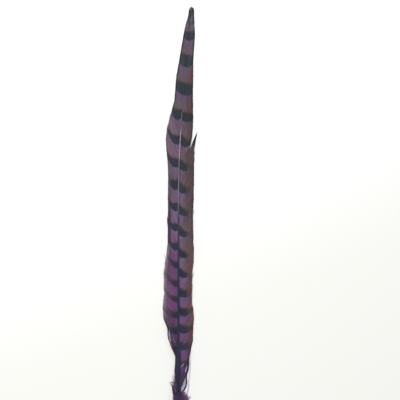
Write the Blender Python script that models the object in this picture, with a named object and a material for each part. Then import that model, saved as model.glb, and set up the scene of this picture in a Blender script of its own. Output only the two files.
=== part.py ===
"""Pheasant tail feather, lying on its underside.

A feather grows as one piece, so it is one closed solid: the quill and shaft, the two vanes that
spread from the shaft, a lock of barbs that has come away from the right vane, and the downy tuft
at the foot of the vanes.

Metres, +Z up. The shaft lies along Y with the tip towards +Y. A "station" is a distance along Y
from the cut end of the quill. The origin is on the flat underside of the shaft, half way along the
feather, and z = 0 is the surface that the feather lies on.
"""

import math
import random

import bmesh
import bpy
from mathutils import Vector

MM = 0.001

# Driving dimensions
LENGTH = 350 * MM
ORIGIN_STATION = LENGTH / 2

# Shaft: a bare quill, then a rachis that thins towards the tip
QUILL_WIDTH = 3.3 * MM
QUILL_HEIGHT_SHARE = 0.92  # height over width at the quill
QUILL_ROUNDING = 11 * MM  # length over which the quill narrows to its cut end
QUILL_END_SHARE = 0.42  # the cut end's width as a share of the quill's
QUILL_TOP = 42 * MM  # where the quill ends and the taper starts
SHAFT_END = 341 * MM
SHAFT_END_WIDTH = 0.5 * MM
SHAFT_END_HEIGHT = 0.85 * MM
SHAFT_SIDES = 10
SHAFT_RINGS = 34
ROUNDING_RINGS = (0, 0.06, 0.22, 0.5)  # shares of the rounding that get a ring

# Bends of the centre line, seen from above and from the side
TIP_BEND = 10 * MM
TIP_BEND_FROM = 195 * MM
TIP_BEND_POWER = 1.5
QUILL_BEND = 2.0 * MM
QUILL_LIFT = 2.2 * MM
QUILL_BEND_BELOW = 110 * MM

# Vanes: from the centre line to the edge, as (station, half width) in millimetres
LEFT_EDGE = (
    (66, 3.0), (76, 5.3), (84, 8.2), (92, 9.4), (102, 12.7), (124, 12.1), (137, 11.9), (150, 10.3),
    (163, 8.9), (211, 8.9), (224, 9.7), (236, 11.4), (245, 12.2), (252, 11.8), (265, 9.3),
    (278, 7.3), (291, 7.2), (307, 6.0), (326, 4.3), (339, 2.8), (347, 1.7), (350, 0),
)
RIGHT_EDGE = (
    (50, 5.0), (57, 7.8), (64, 8.8), (76, 10.0), (91, 11.3), (102, 11.9), (112, 10.6), (135, 10.9),
    (150, 11.8), (179, 11.3), (211, 11.7), (235, 11.3), (240, 7.4), (252, 9.0), (265, 8.2),
    (280, 6.9), (307, 5.2), (326, 5.0), (339, 3.4), (347, 1.9), (350, 0),
)
FIRST_ROOT = 50 * MM
LAST_ROOT = 338 * MM
LOCKS = 30  # groups of barbs up the right vane
LEFT_SKIPS = 2  # the left vane starts this many locks higher
LOCK_PITCH = (LAST_ROOT - FIRST_ROOT) / LOCKS

# How far a barb runs towards the tip between its root and the vane's edge, in millimetres
REACH = ((50, 14), (100, 15), (150, 23), (205, 33), (290, 30), (338, 12))
BARB_BOW = 0.35  # a barb leaves the shaft this much steeper than a straight one
BARB_SWEEP = 0.2  # and gains this share of its rise late, so that it turns towards the tip

# Surface of the vanes
VANE_THICKNESS = 0.5 * MM
VANE_COLUMNS = 8  # steps along a barb
FULL_HALF_WIDTH = 12 * MM  # half width at which a vane has its full swell and waves
VANE_CROWN = 0.55 * MM  # swell of the vane between the shaft and its edge
LOCK_RIDGE = 0.14 * MM  # a lock's middle stands this far above its sides
ROOT_SHARE = 0.8  # the vanes grow from the shaft at this share of its height
ROOT_SINK = 0.2 * MM
EDGE_WAVE = 0.8 * MM  # the edges lie on the surface and rise this high between those stretches
EDGE_WAVE_LENGTH = 58 * MM

# Where two neighbouring locks part, near the vane's edge
NOTCH = 0.7 * MM
NOTCH_FROM_COLUMNS = (5, 7)
NOTCH_SEED = 3
LOCK_SHOULDER = 0.975  # a lock's sides stop at this share of its middle's length

# The lock that stands out from the right vane, as (x, station, height) of its root and its point
SPLIT_ROOT = (9.0 * MM, 231 * MM, 1.3 * MM)
SPLIT_POINT = (16.4 * MM, 250.8 * MM, 0.6 * MM)
SPLIT_WIDTH = 4.0 * MM
SPLIT_POINT_WIDTH = 0.35 * MM
SPLIT_THICKNESS = 0.55 * MM
SPLIT_STEPS = 7

# Downy tuft
DOWN_LOCKS = 14  # on each side
DOWN_FROM = 15 * MM
DOWN_TO = 53 * MM
DOWN_REACH = ((13, 7), (24, 11.5), (36, 9.5), (46, 6.5), (53, 5))  # (station, length), millimetres
DOWN_WIDTH = 2.7 * MM  # at a lock's widest, a third of the way out
DOWN_TIP_WIDTH = 0.35 * MM
DOWN_FLATNESS = 0.4  # thickness over width
DOWN_ANGLES = (math.radians(98), math.radians(38))  # from the shaft's direction, lowest and highest
DOWN_CURL = 0.5  # how far a lock turns back towards the quill, in radians
DOWN_LIFT = (-0.2 * MM, 1.6 * MM)
DOWN_STEPS = 5
DOWN_SEED = 7


def through(points, station):
    """The value at a station on the smooth curve through (station, value) points in millimetres."""
    x = station / MM
    if x <= points[0][0]:
        return points[0][1] * MM
    if x >= points[-1][0]:
        return points[-1][1] * MM
    i = max(k for k, point in enumerate(points) if point[0] <= x)
    slopes = [
        (points[k + 1][1] - points[k][1]) / (points[k + 1][0] - points[k][0])
        for k in range(len(points) - 1)
    ]

    def slope_at(k):
        """The harmonic mean of the slopes on both sides, and level at a peak or a trough."""
        if k == 0 or k == len(points) - 1:
            return slopes[min(k, len(slopes) - 1)]
        before, after = slopes[k - 1], slopes[k]
        return 2 * before * after / (before + after) if before * after > 0 else 0.0

    step = points[i + 1][0] - points[i][0]
    u = (x - points[i][0]) / step
    value = (
        points[i][1] * (1 + 2 * u) * (1 - u) ** 2
        + points[i + 1][1] * u * u * (3 - 2 * u)
        + slope_at(i) * step * u * (1 - u) ** 2
        + slope_at(i + 1) * step * u * u * (u - 1)
    )
    return value * MM


def mix(start, end, share):
    return start + (end - start) * share


def quill_share(station):
    """0 where the quill's bend starts, 1 at the quill's end."""
    return max(0.0, 1 - station / QUILL_BEND_BELOW)


def centre_x(station):
    """Sideways place of the shaft's centre line."""
    if station > TIP_BEND_FROM:
        share = (station - TIP_BEND_FROM) / (LENGTH - TIP_BEND_FROM)
        return TIP_BEND * share**TIP_BEND_POWER
    return -QUILL_BEND * quill_share(station) ** 2


def underside(station):
    """Height of the shaft's flat underside above the surface."""
    return QUILL_LIFT * quill_share(station) ** 2


def shaft_size(station):
    """Width and height of the shaft."""
    taper = min(1.0, max(0.0, (station - QUILL_TOP) / (SHAFT_END - QUILL_TOP)))
    width = mix(QUILL_WIDTH, SHAFT_END_WIDTH, taper)
    height = mix(QUILL_WIDTH * QUILL_HEIGHT_SHARE, SHAFT_END_HEIGHT, taper)
    if station < QUILL_ROUNDING:
        u = 1 - station / QUILL_ROUNDING
        rounding = mix(QUILL_END_SHARE, 1, math.sqrt(1 - u * u))
        width *= rounding
        height *= rounding
    return width, height


def root_height(station):
    """Height of the vane's middle surface where it grows from the shaft."""
    return underside(station) + ROOT_SHARE * shaft_size(station)[1] - ROOT_SINK


def world(x, station, z):
    return Vector((x, station - ORIGIN_STATION, z))


def vane_point(side, root, share, along=1.0):
    """A point of the vane's middle surface, side -1 left and +1 right.

    root is the station where the barb leaves the shaft, share runs from 0 there to 1 at the edge,
    and along scales the barb's length.
    """
    reach = through(REACH, root)
    edge = through(LEFT_EDGE if side < 0 else RIGHT_EDGE, root + reach)
    fullness = edge / FULL_HALF_WIDTH
    spread = share * (1 + BARB_BOW * (1 - share)) * along
    rise = share * (1 - BARB_SWEEP * (1 - share)) * along
    station = root + reach * rise
    wave = max(0.0, math.sin(2 * math.pi * station / EDGE_WAVE_LENGTH + side))
    edge_height = VANE_THICKNESS / 2 + EDGE_WAVE * wave * fullness
    height = mix(root_height(root), edge_height, share**3)
    height += VANE_CROWN * math.sin(math.pi * share) * fullness
    return world(centre_x(station) + side * edge * spread, station, height)


class Sheet:
    """The open middle surface of both vanes. Points asked for twice are shared."""

    def __init__(self):
        self.mesh = bmesh.new()
        self.points = {}

    def vertex(self, point):
        key = tuple(round(value / (0.001 * MM)) for value in point)
        if key not in self.points:
            self.points[key] = self.mesh.verts.new(point)
        return self.points[key]

    def strip(self, lower, upper, side):
        """Faces between two barb lines, facing up on both vanes."""
        for k in range(len(lower) - 1):
            corners = [lower[k], lower[k + 1], upper[k + 1], upper[k]]
            if side < 0:
                corners.reverse()
            vertices = []
            for corner in corners:
                vertex = self.vertex(corner)
                if vertex not in vertices:
                    vertices.append(vertex)
            if len(vertices) > 2:
                self.mesh.faces.new(vertices)


def barb_line(side, lock, where, notch_column):
    """A lock's lower side (where 0), middle (0.5) or upper side (1), from the shaft outwards.

    Past notch_column the sides draw in from the neighbouring locks' sides. The last line of all is
    the feather's tip, where both vanes meet on the centre line, and has no notch.
    """
    root = FIRST_ROOT + (lock + where) * LOCK_PITCH
    is_middle = where == 0.5
    is_tip = lock + where == LOCKS
    line = []
    for column in range(VANE_COLUMNS + 1):
        share = column / VANE_COLUMNS
        parted = max(0.0, (column - notch_column) / (VANE_COLUMNS - notch_column))
        if is_middle or is_tip:
            parted = 0.0
        inwards = NOTCH * parted * (1 - 2 * where)
        point = vane_point(side, root + inwards, share, mix(1, LOCK_SHOULDER, parted))
        if is_middle:
            point.z += LOCK_RIDGE * math.sin(math.pi * share)
        line.append(point)
    return line


def make_vanes():
    """Both vanes as one thin shell, notched where the locks part at its edges."""
    sheet = Sheet()
    chance = random.Random(NOTCH_SEED)
    for side in (-1, 1):
        notches = [chance.randint(*NOTCH_FROM_COLUMNS) for _ in range(LOCKS + 1)]
        for lock in range(LEFT_SKIPS if side < 0 else 0, LOCKS):
            lower = barb_line(side, lock, 0, notches[lock])
            middle = barb_line(side, lock, 0.5, VANE_COLUMNS - 1)
            upper = barb_line(side, lock, 1, notches[lock + 1])
            sheet.strip(lower, middle, side)
            sheet.strip(middle, upper, side)
    mesh = bpy.data.meshes.new("vanes")
    sheet.mesh.to_mesh(mesh)
    sheet.mesh.free()
    vanes = bpy.data.objects.new("vanes", mesh)
    bpy.context.scene.collection.objects.link(vanes)
    shell = vanes.modifiers.new("thickness", "SOLIDIFY")
    shell.thickness = VANE_THICKNESS
    shell.offset = 0
    return vanes


def make_loft(name, rings):
    """A closed object skinned over a row of rings with equal numbers of points."""
    mesh = bmesh.new()
    rows = [[mesh.verts.new(point) for point in ring] for ring in rings]
    for near, far in zip(rows, rows[1:]):
        for k in range(len(near)):
            n = (k + 1) % len(near)
            mesh.faces.new((near[k], near[n], far[n], far[k]))
    mesh.faces.new(rows[0])
    mesh.faces.new(rows[-1])
    bmesh.ops.recalc_face_normals(mesh, faces=mesh.faces)
    data = bpy.data.meshes.new(name)
    mesh.to_mesh(data)
    mesh.free()
    made = bpy.data.objects.new(name, data)
    bpy.context.scene.collection.objects.link(made)
    return made


def make_shaft():
    """Quill and rachis: a tapering polygon with a flat underside."""
    step = (SHAFT_END - QUILL_ROUNDING) / SHAFT_RINGS
    stations = [QUILL_ROUNDING * share for share in ROUNDING_RINGS]
    stations += [QUILL_ROUNDING + k * step for k in range(SHAFT_RINGS + 1)]
    half_angle = math.pi / SHAFT_SIDES
    rings = []
    for station in stations:
        width, height = shaft_size(station)
        ring = []
        for k in range(SHAFT_SIDES):
            angle = half_angle * (2 * k + 1) - math.pi / 2
            x = centre_x(station) + math.cos(angle) / math.cos(half_angle) * width / 2
            z = underside(station) + (1 + math.sin(angle) / math.cos(half_angle)) * height / 2
            ring.append(world(x, station, z))
        rings.append(ring)
    return make_loft("shaft", rings)


def make_lock(name, points, widths, thicknesses):
    """A tapered lock with a diamond section, along a row of centre points."""
    rings = []
    for k, point in enumerate(points):
        ahead = points[min(k + 1, len(points) - 1)] - points[max(k - 1, 0)]
        across = ahead.cross(Vector((0, 0, 1))).normalized()
        up = across.cross(ahead).normalized()
        half_width = across * widths[k] / 2
        half_thickness = up * thicknesses[k] / 2
        rings.append([
            point - half_width, point - half_thickness, point + half_width, point + half_thickness,
        ])
    return make_loft(name, rings)


def make_split_lock():
    """The pointed lock that stands out from the right vane."""
    shares = [k / SPLIT_STEPS for k in range(SPLIT_STEPS + 1)]
    root, point = world(*SPLIT_ROOT), world(*SPLIT_POINT)
    widths = [mix(SPLIT_WIDTH, SPLIT_POINT_WIDTH, share) for share in shares]
    thicknesses = [min(width, SPLIT_THICKNESS) for width in widths]
    return make_lock("split_lock", [root.lerp(point, share) for share in shares], widths, thicknesses)


def down_path(side, station, angle, length, lift):
    """Centre points of a downy lock that curls back towards the quill and sinks to the surface."""
    root_z = root_height(station)
    points = []
    for k in range(DOWN_STEPS + 1):
        share = k / DOWN_STEPS
        turned = angle + DOWN_CURL * share
        x = centre_x(station) + side * length * share * math.sin(turned)
        y = station + length * share * math.cos(turned)
        z = mix(root_z, DOWN_TIP_WIDTH, share**2) + lift * math.sin(math.pi * share)
        points.append(world(x, y, z))
    return points


def make_down():
    """The tuft of downy locks round the foot of the vanes."""
    chance = random.Random(DOWN_SEED)
    step = (DOWN_TO - DOWN_FROM) / (DOWN_LOCKS - 1)
    quarter_turns = [0.5 + 1.5 * k / DOWN_STEPS for k in range(DOWN_STEPS + 1)]
    widths = [
        mix(DOWN_TIP_WIDTH, DOWN_WIDTH, math.sin(turns * math.pi / 2)) for turns in quarter_turns
    ]
    thicknesses = [width * DOWN_FLATNESS for width in widths]
    locks = []
    for side in (-1, 1):
        for k in range(DOWN_LOCKS):
            station = DOWN_FROM + (k + chance.uniform(-0.3, 0.3)) * step
            angle = mix(*DOWN_ANGLES, k / (DOWN_LOCKS - 1)) + chance.uniform(-0.12, 0.12)
            length = through(DOWN_REACH, station) * chance.uniform(0.8, 1.1)
            points = down_path(side, station, angle, length, chance.uniform(*DOWN_LIFT))
            locks.append(make_lock(f"down_{len(locks)}", points, widths, thicknesses))
    return locks


def feather_material():
    """Dyed feather: a dull purple with a low sheen."""
    material = bpy.data.materials.new("dyed_feather")
    material.use_nodes = True
    shader = material.node_tree.nodes["Principled BSDF"]
    shader.inputs["Base Color"].default_value = (0.12, 0.065, 0.125, 1)
    shader.inputs["Roughness"].default_value = 0.55
    shader.inputs["Metallic"].default_value = 0
    return material


def join_all(trunk, others):
    """Adds a union to the trunk for each other shape, and keeps those out of the render."""
    for other in others:
        union = trunk.modifiers.new(f"join_{other.name}", "BOOLEAN")
        union.operation = "UNION"
        union.object = other
        union.solver = "EXACT"
        other.hide_render = True
        other.display_type = "WIRE"


def main():
    for old in list(bpy.data.objects):
        bpy.data.objects.remove(old)
    feather = make_shaft()
    feather.name = "feather"
    join_all(feather, [make_vanes(), make_split_lock(), *make_down()])
    feather.data.materials.append(feather_material())


main()
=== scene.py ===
# %% [markdown]
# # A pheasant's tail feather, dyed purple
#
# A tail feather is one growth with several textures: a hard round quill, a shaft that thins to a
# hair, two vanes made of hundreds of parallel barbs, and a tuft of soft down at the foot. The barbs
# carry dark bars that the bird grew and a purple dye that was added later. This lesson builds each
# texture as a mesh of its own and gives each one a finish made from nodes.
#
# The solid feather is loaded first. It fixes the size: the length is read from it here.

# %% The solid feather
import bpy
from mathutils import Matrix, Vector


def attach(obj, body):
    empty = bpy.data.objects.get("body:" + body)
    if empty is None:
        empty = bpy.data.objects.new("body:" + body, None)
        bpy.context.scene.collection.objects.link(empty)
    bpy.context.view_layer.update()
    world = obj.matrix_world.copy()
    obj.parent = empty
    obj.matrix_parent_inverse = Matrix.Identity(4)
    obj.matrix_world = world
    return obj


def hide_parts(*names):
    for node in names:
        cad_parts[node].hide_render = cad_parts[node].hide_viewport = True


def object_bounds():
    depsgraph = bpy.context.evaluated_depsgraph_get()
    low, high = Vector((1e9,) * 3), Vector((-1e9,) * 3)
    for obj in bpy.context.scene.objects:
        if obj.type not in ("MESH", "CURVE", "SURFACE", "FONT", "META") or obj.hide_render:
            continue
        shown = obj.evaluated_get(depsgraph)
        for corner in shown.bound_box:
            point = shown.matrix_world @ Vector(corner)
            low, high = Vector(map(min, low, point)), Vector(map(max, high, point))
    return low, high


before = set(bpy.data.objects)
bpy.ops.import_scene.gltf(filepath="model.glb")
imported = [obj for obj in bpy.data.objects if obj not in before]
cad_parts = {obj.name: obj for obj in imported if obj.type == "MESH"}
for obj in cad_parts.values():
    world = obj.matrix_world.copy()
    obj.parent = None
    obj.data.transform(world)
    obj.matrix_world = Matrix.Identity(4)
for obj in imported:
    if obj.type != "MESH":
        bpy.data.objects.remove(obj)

from types import SimpleNamespace

import bpy
import numpy as np
from mathutils import Vector

solid_low, solid_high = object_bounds()
MM = 0.001
LENGTH = (solid_high.y - solid_low.y) / MM
print("solid feather, mm:", [round(size / MM, 1) for size in solid_high - solid_low])

# %% [markdown]
# ## Reading a size from a few points
#
# Most sizes of a feather change smoothly along it, and no simple formula gives them. A Bezier curve
# could hold such a change, but its handles are many more numbers. A short list of places, read
# through a smooth curve that never overshoots them, says the same with less. Where something
# changes only once, `ease` is enough: a soft step between two places. Two such steps make `within`,
# a stretch that fades in and out. Below, a pair of numbers is a step and four numbers are a stretch.

# %% Smooth curves and soft steps
def through(points, x):
    """Reads the smooth curve through (x, y) points at x. Between two points it never overshoots."""
    known_x, known_y = np.array(points, float).T
    slopes = np.diff(known_y) / np.diff(known_x)
    product = slopes[:-1] * slopes[1:]
    total = slopes[:-1] + slopes[1:]
    inner = np.where(product > 0, 2 * product / np.where(total == 0, 1, total), 0)
    tangents = np.concatenate([slopes[:1], inner, slopes[-1:]])
    i = np.clip(np.searchsorted(known_x, x, side="right") - 1, 0, len(known_x) - 2)
    step = known_x[i + 1] - known_x[i]
    u = np.clip((x - known_x[i]) / step, 0, 1)
    return (
        known_y[i] * (1 + 2 * u) * (1 - u) ** 2
        + known_y[i + 1] * u**2 * (3 - 2 * u)
        + tangents[i] * step * u * (1 - u) ** 2
        + tangents[i + 1] * step * u**2 * (u - 1)
    )


def mix(start, end, share):
    return start + (end - start) * share


def ease(value, start, end):
    """0 before start, 1 after end, and a smooth step between them. start may be the larger."""
    u = np.clip((value - start) / (end - start), 0, 1)
    return u * u * (3 - 2 * u)


def within(value, enters, full, fades, gone):
    """1 in the middle of a stretch, 0 outside it, and a smooth step at both ends."""
    return ease(value, enters, full) * ease(value, gone, fades)


print("a soft step from 10 to 20, read at 12:", ease(12, 10, 20).round(2))

# %% [markdown]
# ## How places on the feather are named
#
# The feather lies along Y with its tip towards +Y. A place on it is easiest to name by its
# "station", the distance from the quill's end, and by how far it is from the centre line. Lengths
# in this lesson are millimetres until a mesh is made, and `place` turns a station into a Y.
#
# The centre line is straight except near its ends: the tip bends to the right, and the quill a
# little to the left and up.

# %% Centre line
LEFT, RIGHT = -1, 1
ORIGIN_STATION = LENGTH / 2
TIP_BEND, TIP_BEND_FROM, TIP_BEND_POWER = 10, 195, 1.5
QUILL_BEND, QUILL_LIFT, QUILL_BEND_BELOW = 2.0, 2.2, 110


def quill_share(station):
    return np.clip(1 - station / QUILL_BEND_BELOW, 0, None)


def centre_x(station):
    share = np.clip((station - TIP_BEND_FROM) / (LENGTH - TIP_BEND_FROM), 0, None)
    return TIP_BEND * share**TIP_BEND_POWER - QUILL_BEND * quill_share(station) ** 2


def underside(station):
    """Height of the shaft's underside above the table."""
    return QUILL_LIFT * quill_share(station) ** 2


def place(x, station, z):
    """A point, or an array of points, in the feather's own millimetres."""
    return np.stack(np.broadcast_arrays(x, station - ORIGIN_STATION, z), axis=-1)


print("the tip bends to the right by, mm:", centre_x(LENGTH).round(1))

# %% [markdown]
# ## The outline
#
# Both edges of the real feather swell and narrow again, by themselves, where barbs are worn or have
# grown longer. One smooth leaf shape would look like a drawing of a feather. Fewer than forty
# places along each edge are enough to keep its own line, with the step on the right where a lock has
# come away and left a notch.

# %% Outline of the vanes
# (station, distance from the centre line to the vane's edge)
EDGE = {
    LEFT: (
        (44, 1.7), (50, 2.3), (57, 2.8), (63, 2.5), (68, 2.4), (75, 2.3), (77.5, 3.2), (80.5, 5.6),
        (84, 7.9), (92, 8.9), (97, 10.7), (101, 12.2), (108, 12.75), (115, 12.3), (120.5, 11.65),
        (126, 11.95), (137, 11.8), (150, 10.1), (163, 8.8), (173, 8.7), (179.5, 9.3), (186, 8.5),
        (211, 8.7), (224, 9.5), (236, 11.1), (245, 12.0), (252, 11.6), (265, 9.2), (278, 7.0),
        (291, 7.0), (307, 5.6), (326, 4.0), (335, 3.0), (342, 1.6), (348, 1.1), (350, 0),
    ),
    RIGHT: (
        (43, 2.6), (50, 4.4), (55, 6.6), (57.5, 8.0), (61, 8.9), (68, 9.1), (73, 9.75),
        (78, 10.75), (84, 11.8), (91, 12.0), (102, 12.55), (107, 12.1), (111, 11.3), (115, 10.9),
        (122, 11.1), (135, 11.3), (150, 12.5), (165, 12.1), (182, 11.7), (198, 12.3), (211, 12.25),
        (222, 11.9), (234, 11.7), (237.6, 7.4), (240.4, 7.9), (243, 8.6), (249, 9.3), (256, 9.3),
        (265, 8.8), (280, 7.6), (296, 6.6), (307, 5.8), (326, 5.4), (335, 4.3), (342, 3.35),
        (348, 2.5), (350, 0),
    ),
}
print("places along the left and the right edge:", len(EDGE[LEFT]), len(EDGE[RIGHT]))
print("widest half of the left vane, mm:", max(half for _, half in EDGE[LEFT]))

# %% [markdown]
# ## Camera
#
# The feather was photographed from straight above. Close to it, a camera would make the tip and the
# quill look further away than the middle, so a long lens is used, high above the table, and the view
# is almost flat. The picture is 320 mm wide, and the quill's end lies below its lower border, so the
# camera's centre is a little up and to the right of the feather's middle. The plain view transform
# is set, because the usual one would dull the dye.

# %% Camera
PICTURE_SIDE = 320
PICTURE_CENTRE = (17.2, 19.8)
CAMERA_HEIGHT = 1500


def link(thing):
    bpy.context.scene.collection.objects.link(thing)
    return thing


camera = link(bpy.data.objects.new("camera", bpy.data.cameras.new("camera")))
camera.location = (PICTURE_CENTRE[0] * MM, PICTURE_CENTRE[1] * MM, CAMERA_HEIGHT * MM)
camera.data.lens = camera.data.sensor_width * CAMERA_HEIGHT / PICTURE_SIDE
bpy.context.scene.camera = camera
bpy.context.scene.view_settings.view_transform = "Standard"
print("lens, mm:", round(camera.data.lens, 1))

# %% [markdown]
# ## Patterns as arithmetic
#
# A pattern on a surface is arithmetic on a few numbers that vary over it. Blender does that
# arithmetic with nodes, but placed and linked one by one they are hard to read. So `Signal` wraps a
# node's output and turns +, -, * and / into Math nodes, and a pattern reads like a formula. A plain
# number may stand first, as in 1 - signal, and the methods that start with r are for that.

# %% Signals
class Signal:
    """A number that varies over a surface: the output of a node, with arithmetic."""

    def __init__(self, socket):
        self.socket = socket
        self.tree = socket.id_data

    def math(self, operation, *others):
        node = self.tree.nodes.new("ShaderNodeMath")
        node.operation = operation
        for slot, value in zip(node.inputs, (self, *others)):
            plug(slot, value)
        return Signal(node.outputs[0])

    def __add__(self, other):
        return self.math("ADD", other)

    def __sub__(self, other):
        return self.math("SUBTRACT", other)

    def __rsub__(self, other):
        return self.math("MULTIPLY_ADD", -1.0, other)  # -1 * self + other

    def __mul__(self, other):
        return self.math("MULTIPLY", other)

    __radd__, __rmul__ = __add__, __mul__

    def __truediv__(self, other):
        return self.math("DIVIDE", other)

    def ease(self, start, end):
        """0 before start, 1 after end, smooth between. start and end may be signals too."""
        node = self.tree.nodes.new("ShaderNodeMapRange")
        node.interpolation_type = "SMOOTHSTEP"
        plug(node.inputs["Value"], self)
        plug(node.inputs["From Min"], start)
        plug(node.inputs["From Max"], end)
        return Signal(node.outputs["Result"])

    def within(self, enters, full, fades, gone):
        """1 in the middle of a stretch, 0 outside it, and a smooth step at both ends."""
        return self.ease(enters, full) * self.ease(gone, fades)


def plug(slot, value):
    """Sets a socket to a number or a colour, or links it to a signal."""
    if isinstance(value, Signal):
        slot.id_data.links.new(value.socket, slot)
    else:
        slot.default_value = value

# %% [markdown]
# ## Numbers and noise on a surface
#
# The meshes below carry their own numbers, such as the station, so a pattern can follow the feather
# wherever it bends. A picture laid over the feather would have to be fitted to it instead. Noise is
# drawn on two such numbers at once: along the barbs it changes slowly and across them quickly, and
# that makes streaks.

# %% Reading numbers
def stored_number(tree, name):
    node = tree.nodes.new("ShaderNodeAttribute")
    node.attribute_name = name
    return Signal(node.outputs["Fac"])


def stored_numbers(tree, *names):
    """Numbers stored on the mesh's points, as signals that are read by name."""
    return SimpleNamespace(**{name: stored_number(tree, name) for name in names})


def object_place(tree):
    """Where a point is on its object, in metres, as signals x and y."""
    coordinates = tree.nodes.new("ShaderNodeTexCoord")
    split = tree.nodes.new("ShaderNodeSeparateXYZ")
    tree.links.new(coordinates.outputs["Object"], split.inputs[0])
    return Signal(split.outputs["X"]), Signal(split.outputs["Y"])


def noise(tree, across, along, detail=2.0):
    """Noise that is stretched by giving it two different coordinates, from -1 to 1."""
    combine = tree.nodes.new("ShaderNodeCombineXYZ")
    plug(combine.inputs[0], across)
    plug(combine.inputs[1], along)
    node = tree.nodes.new("ShaderNodeTexNoise")
    node.noise_dimensions = "2D"
    node.inputs["Scale"].default_value = 1.0
    node.inputs["Detail"].default_value = detail
    tree.links.new(combine.outputs[0], node.inputs["Vector"])
    return (Signal(node.outputs["Fac"]) - 0.5) * 2.0

# %% Colours from nodes
def vector_math(tree, operation, colour, slot, other):
    node = tree.nodes.new("ShaderNodeVectorMath")
    node.operation = operation
    plug(node.inputs[0], colour)
    plug(node.inputs[slot], other)
    return Signal(node.outputs["Vector"])


def multiplied(tree, colour, tint):
    """The colour times a tint, channel by channel."""
    return vector_math(tree, "MULTIPLY", colour, 1, tint)


def brightened(tree, colour, factor):
    """The colour times a number."""
    return vector_math(tree, "SCALE", colour, "Scale", factor)


def blend_colours(tree, share, first, second):
    node = tree.nodes.new("ShaderNodeMix")
    node.data_type = "RGBA"
    plug(node.inputs["Factor"], share)
    plug(node.inputs["A"], first)
    plug(node.inputs["B"], second)
    return Signal(node.outputs["Result"])


def ramp(tree, where, stops, span=LENGTH):
    """Colours that change along a span. stops are (place on it, colour), the lowest first."""
    node = tree.nodes.new("ShaderNodeValToRGB")
    elements = node.color_ramp.elements
    while len(elements) < len(stops):
        elements.new(0.5)
    for element, (stop, colour) in zip(elements, stops):
        element.position = stop / span
        element.color = colour
    plug(node.inputs["Fac"], where / span)
    return Signal(node.outputs["Color"])

# %% [markdown]
# ## Colours as they are seen
#
# The colour that a photograph shows is the surface's own colour times the light that falls on it,
# plus a veil of gloss from the sky. A finish needs the surface's own colour. Grey cards laid where
# the feather lies showed how strong both are: from the quill to the tip the light grows from 1.3 to
# 1.4 and the veil from 0.02 to 0.03. `seen` takes one fixed pair close to that and turns a colour on
# the screen back into a colour of the surface. So every tone below is written about as it looks.

# %% Screen colours
LIGHT_ON_FEATHER = 1.42
SKY_GLOSS = 0.018
DARKEST = 0.002


def seen(red, green, blue):
    """The surface colour that looks much like this screen colour in this light."""
    screen = np.array([red, green, blue]) / 255
    linear = np.where(screen > 0.04045, ((screen + 0.055) / 1.055) ** 2.4, screen / 12.92)
    return (*((linear - SKY_GLOSS) / LIGHT_ON_FEATHER).clip(DARKEST).tolist(), 1.0)


print("surface colour behind a middle grey:", [round(part, 3) for part in seen(128, 128, 128)])

# %% Materials
def new_material(name):
    material = bpy.data.materials.new(name)
    material.use_nodes = True
    return material, material.node_tree, material.node_tree.nodes["Principled BSDF"]


def finish_surface(tree, shader, colour, roughness, gloss, relief, bump):
    """Fills the shader in. relief is a signal, and bump says how strong it is and how high in mm."""
    strength, height = bump
    plug(shader.inputs["Base Color"], colour)
    plug(shader.inputs["Roughness"], roughness)
    plug(shader.inputs["Specular IOR Level"], gloss)
    node = tree.nodes.new("ShaderNodeBump")
    plug(node.inputs["Height"], relief)
    plug(node.inputs["Strength"], strength)
    plug(node.inputs["Distance"], height * MM)
    tree.links.new(node.outputs["Normal"], shader.inputs["Normal"])


def put_on(piece, material):
    """Gives a piece its material and prints how many nodes that takes."""
    piece.data.materials.append(material)
    print(piece.name, "wears", material.name, "of", len(material.node_tree.nodes), "nodes")

# %% [markdown]
# ## Table and light
#
# The feather lies on a white table, under light so soft and bright that the table is almost pure
# white and the shadows all but vanish. A white sky alone would leave the feather flat, so one large
# lamp above the tip gives the light a side. The lamp's light falls off towards the quill. The table
# is one plain plane, and down there and to the right a painted shade turns its colour a touch darker
# and warmer.

# %% Table
TABLE_SIDE = 4000
# The table's own white, and the painted shade that darkens it towards the quill and to the right
TABLE_WHITE, TABLE_PAINTED_SHADE = (0.75, 0.75, 0.75, 1), (0.716, 0.714, 0.686, 1)
SHADE_SLANT = 0.35
SHADE_STEP = (-0.02, 0.08)  # metres towards the quill, counted on the slant


def make_table():
    mesh = bpy.data.meshes.new("table")
    half = TABLE_SIDE / 2 * MM
    corners = [(-half, -half, 0), (half, -half, 0), (half, half, 0), (-half, half, 0)]
    mesh.from_pydata(corners, [], [(0, 1, 2, 3)])
    material, tree, shader = new_material("white_table")
    x, y = object_place(tree)
    # painted shade, growing towards the quill and to the right
    painted_shade = (x * SHADE_SLANT - y).ease(*SHADE_STEP)
    plug(shader.inputs["Base Color"], blend_colours(tree, painted_shade, TABLE_WHITE, TABLE_PAINTED_SHADE))
    plug(shader.inputs["Roughness"], 0.9)
    plug(shader.inputs["Specular IOR Level"], 0.1)
    mesh.materials.append(material)
    return link(bpy.data.objects.new("table", mesh))


table = make_table()
print("side of the table, mm:", TABLE_SIDE)

# %% Light
SKY_STRENGTH = 0.62
LAMP_POWER = 17.0
LAMP_SIDE = 900
LAMP_PLACE = (-250, 420, 1250)


def make_light():
    world = bpy.data.worlds.new("white_sky")
    bpy.context.scene.world = world
    world.use_nodes = True
    sky = world.node_tree.nodes["Background"]
    sky.inputs["Color"].default_value = (1, 1, 1, 1)
    sky.inputs["Strength"].default_value = SKY_STRENGTH
    lamp = link(bpy.data.objects.new("soft_lamp", bpy.data.lights.new("soft_lamp", "AREA")))
    lamp.data.size = LAMP_SIDE * MM
    lamp.data.energy = LAMP_POWER
    lamp.location = Vector(LAMP_PLACE) * MM
    lamp.rotation_euler = (-lamp.location).to_track_quat("-Z", "Y").to_euler()
    return lamp


lamp = make_light()
print("lamp above the table, mm:", round(lamp.location.z / MM))

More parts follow.
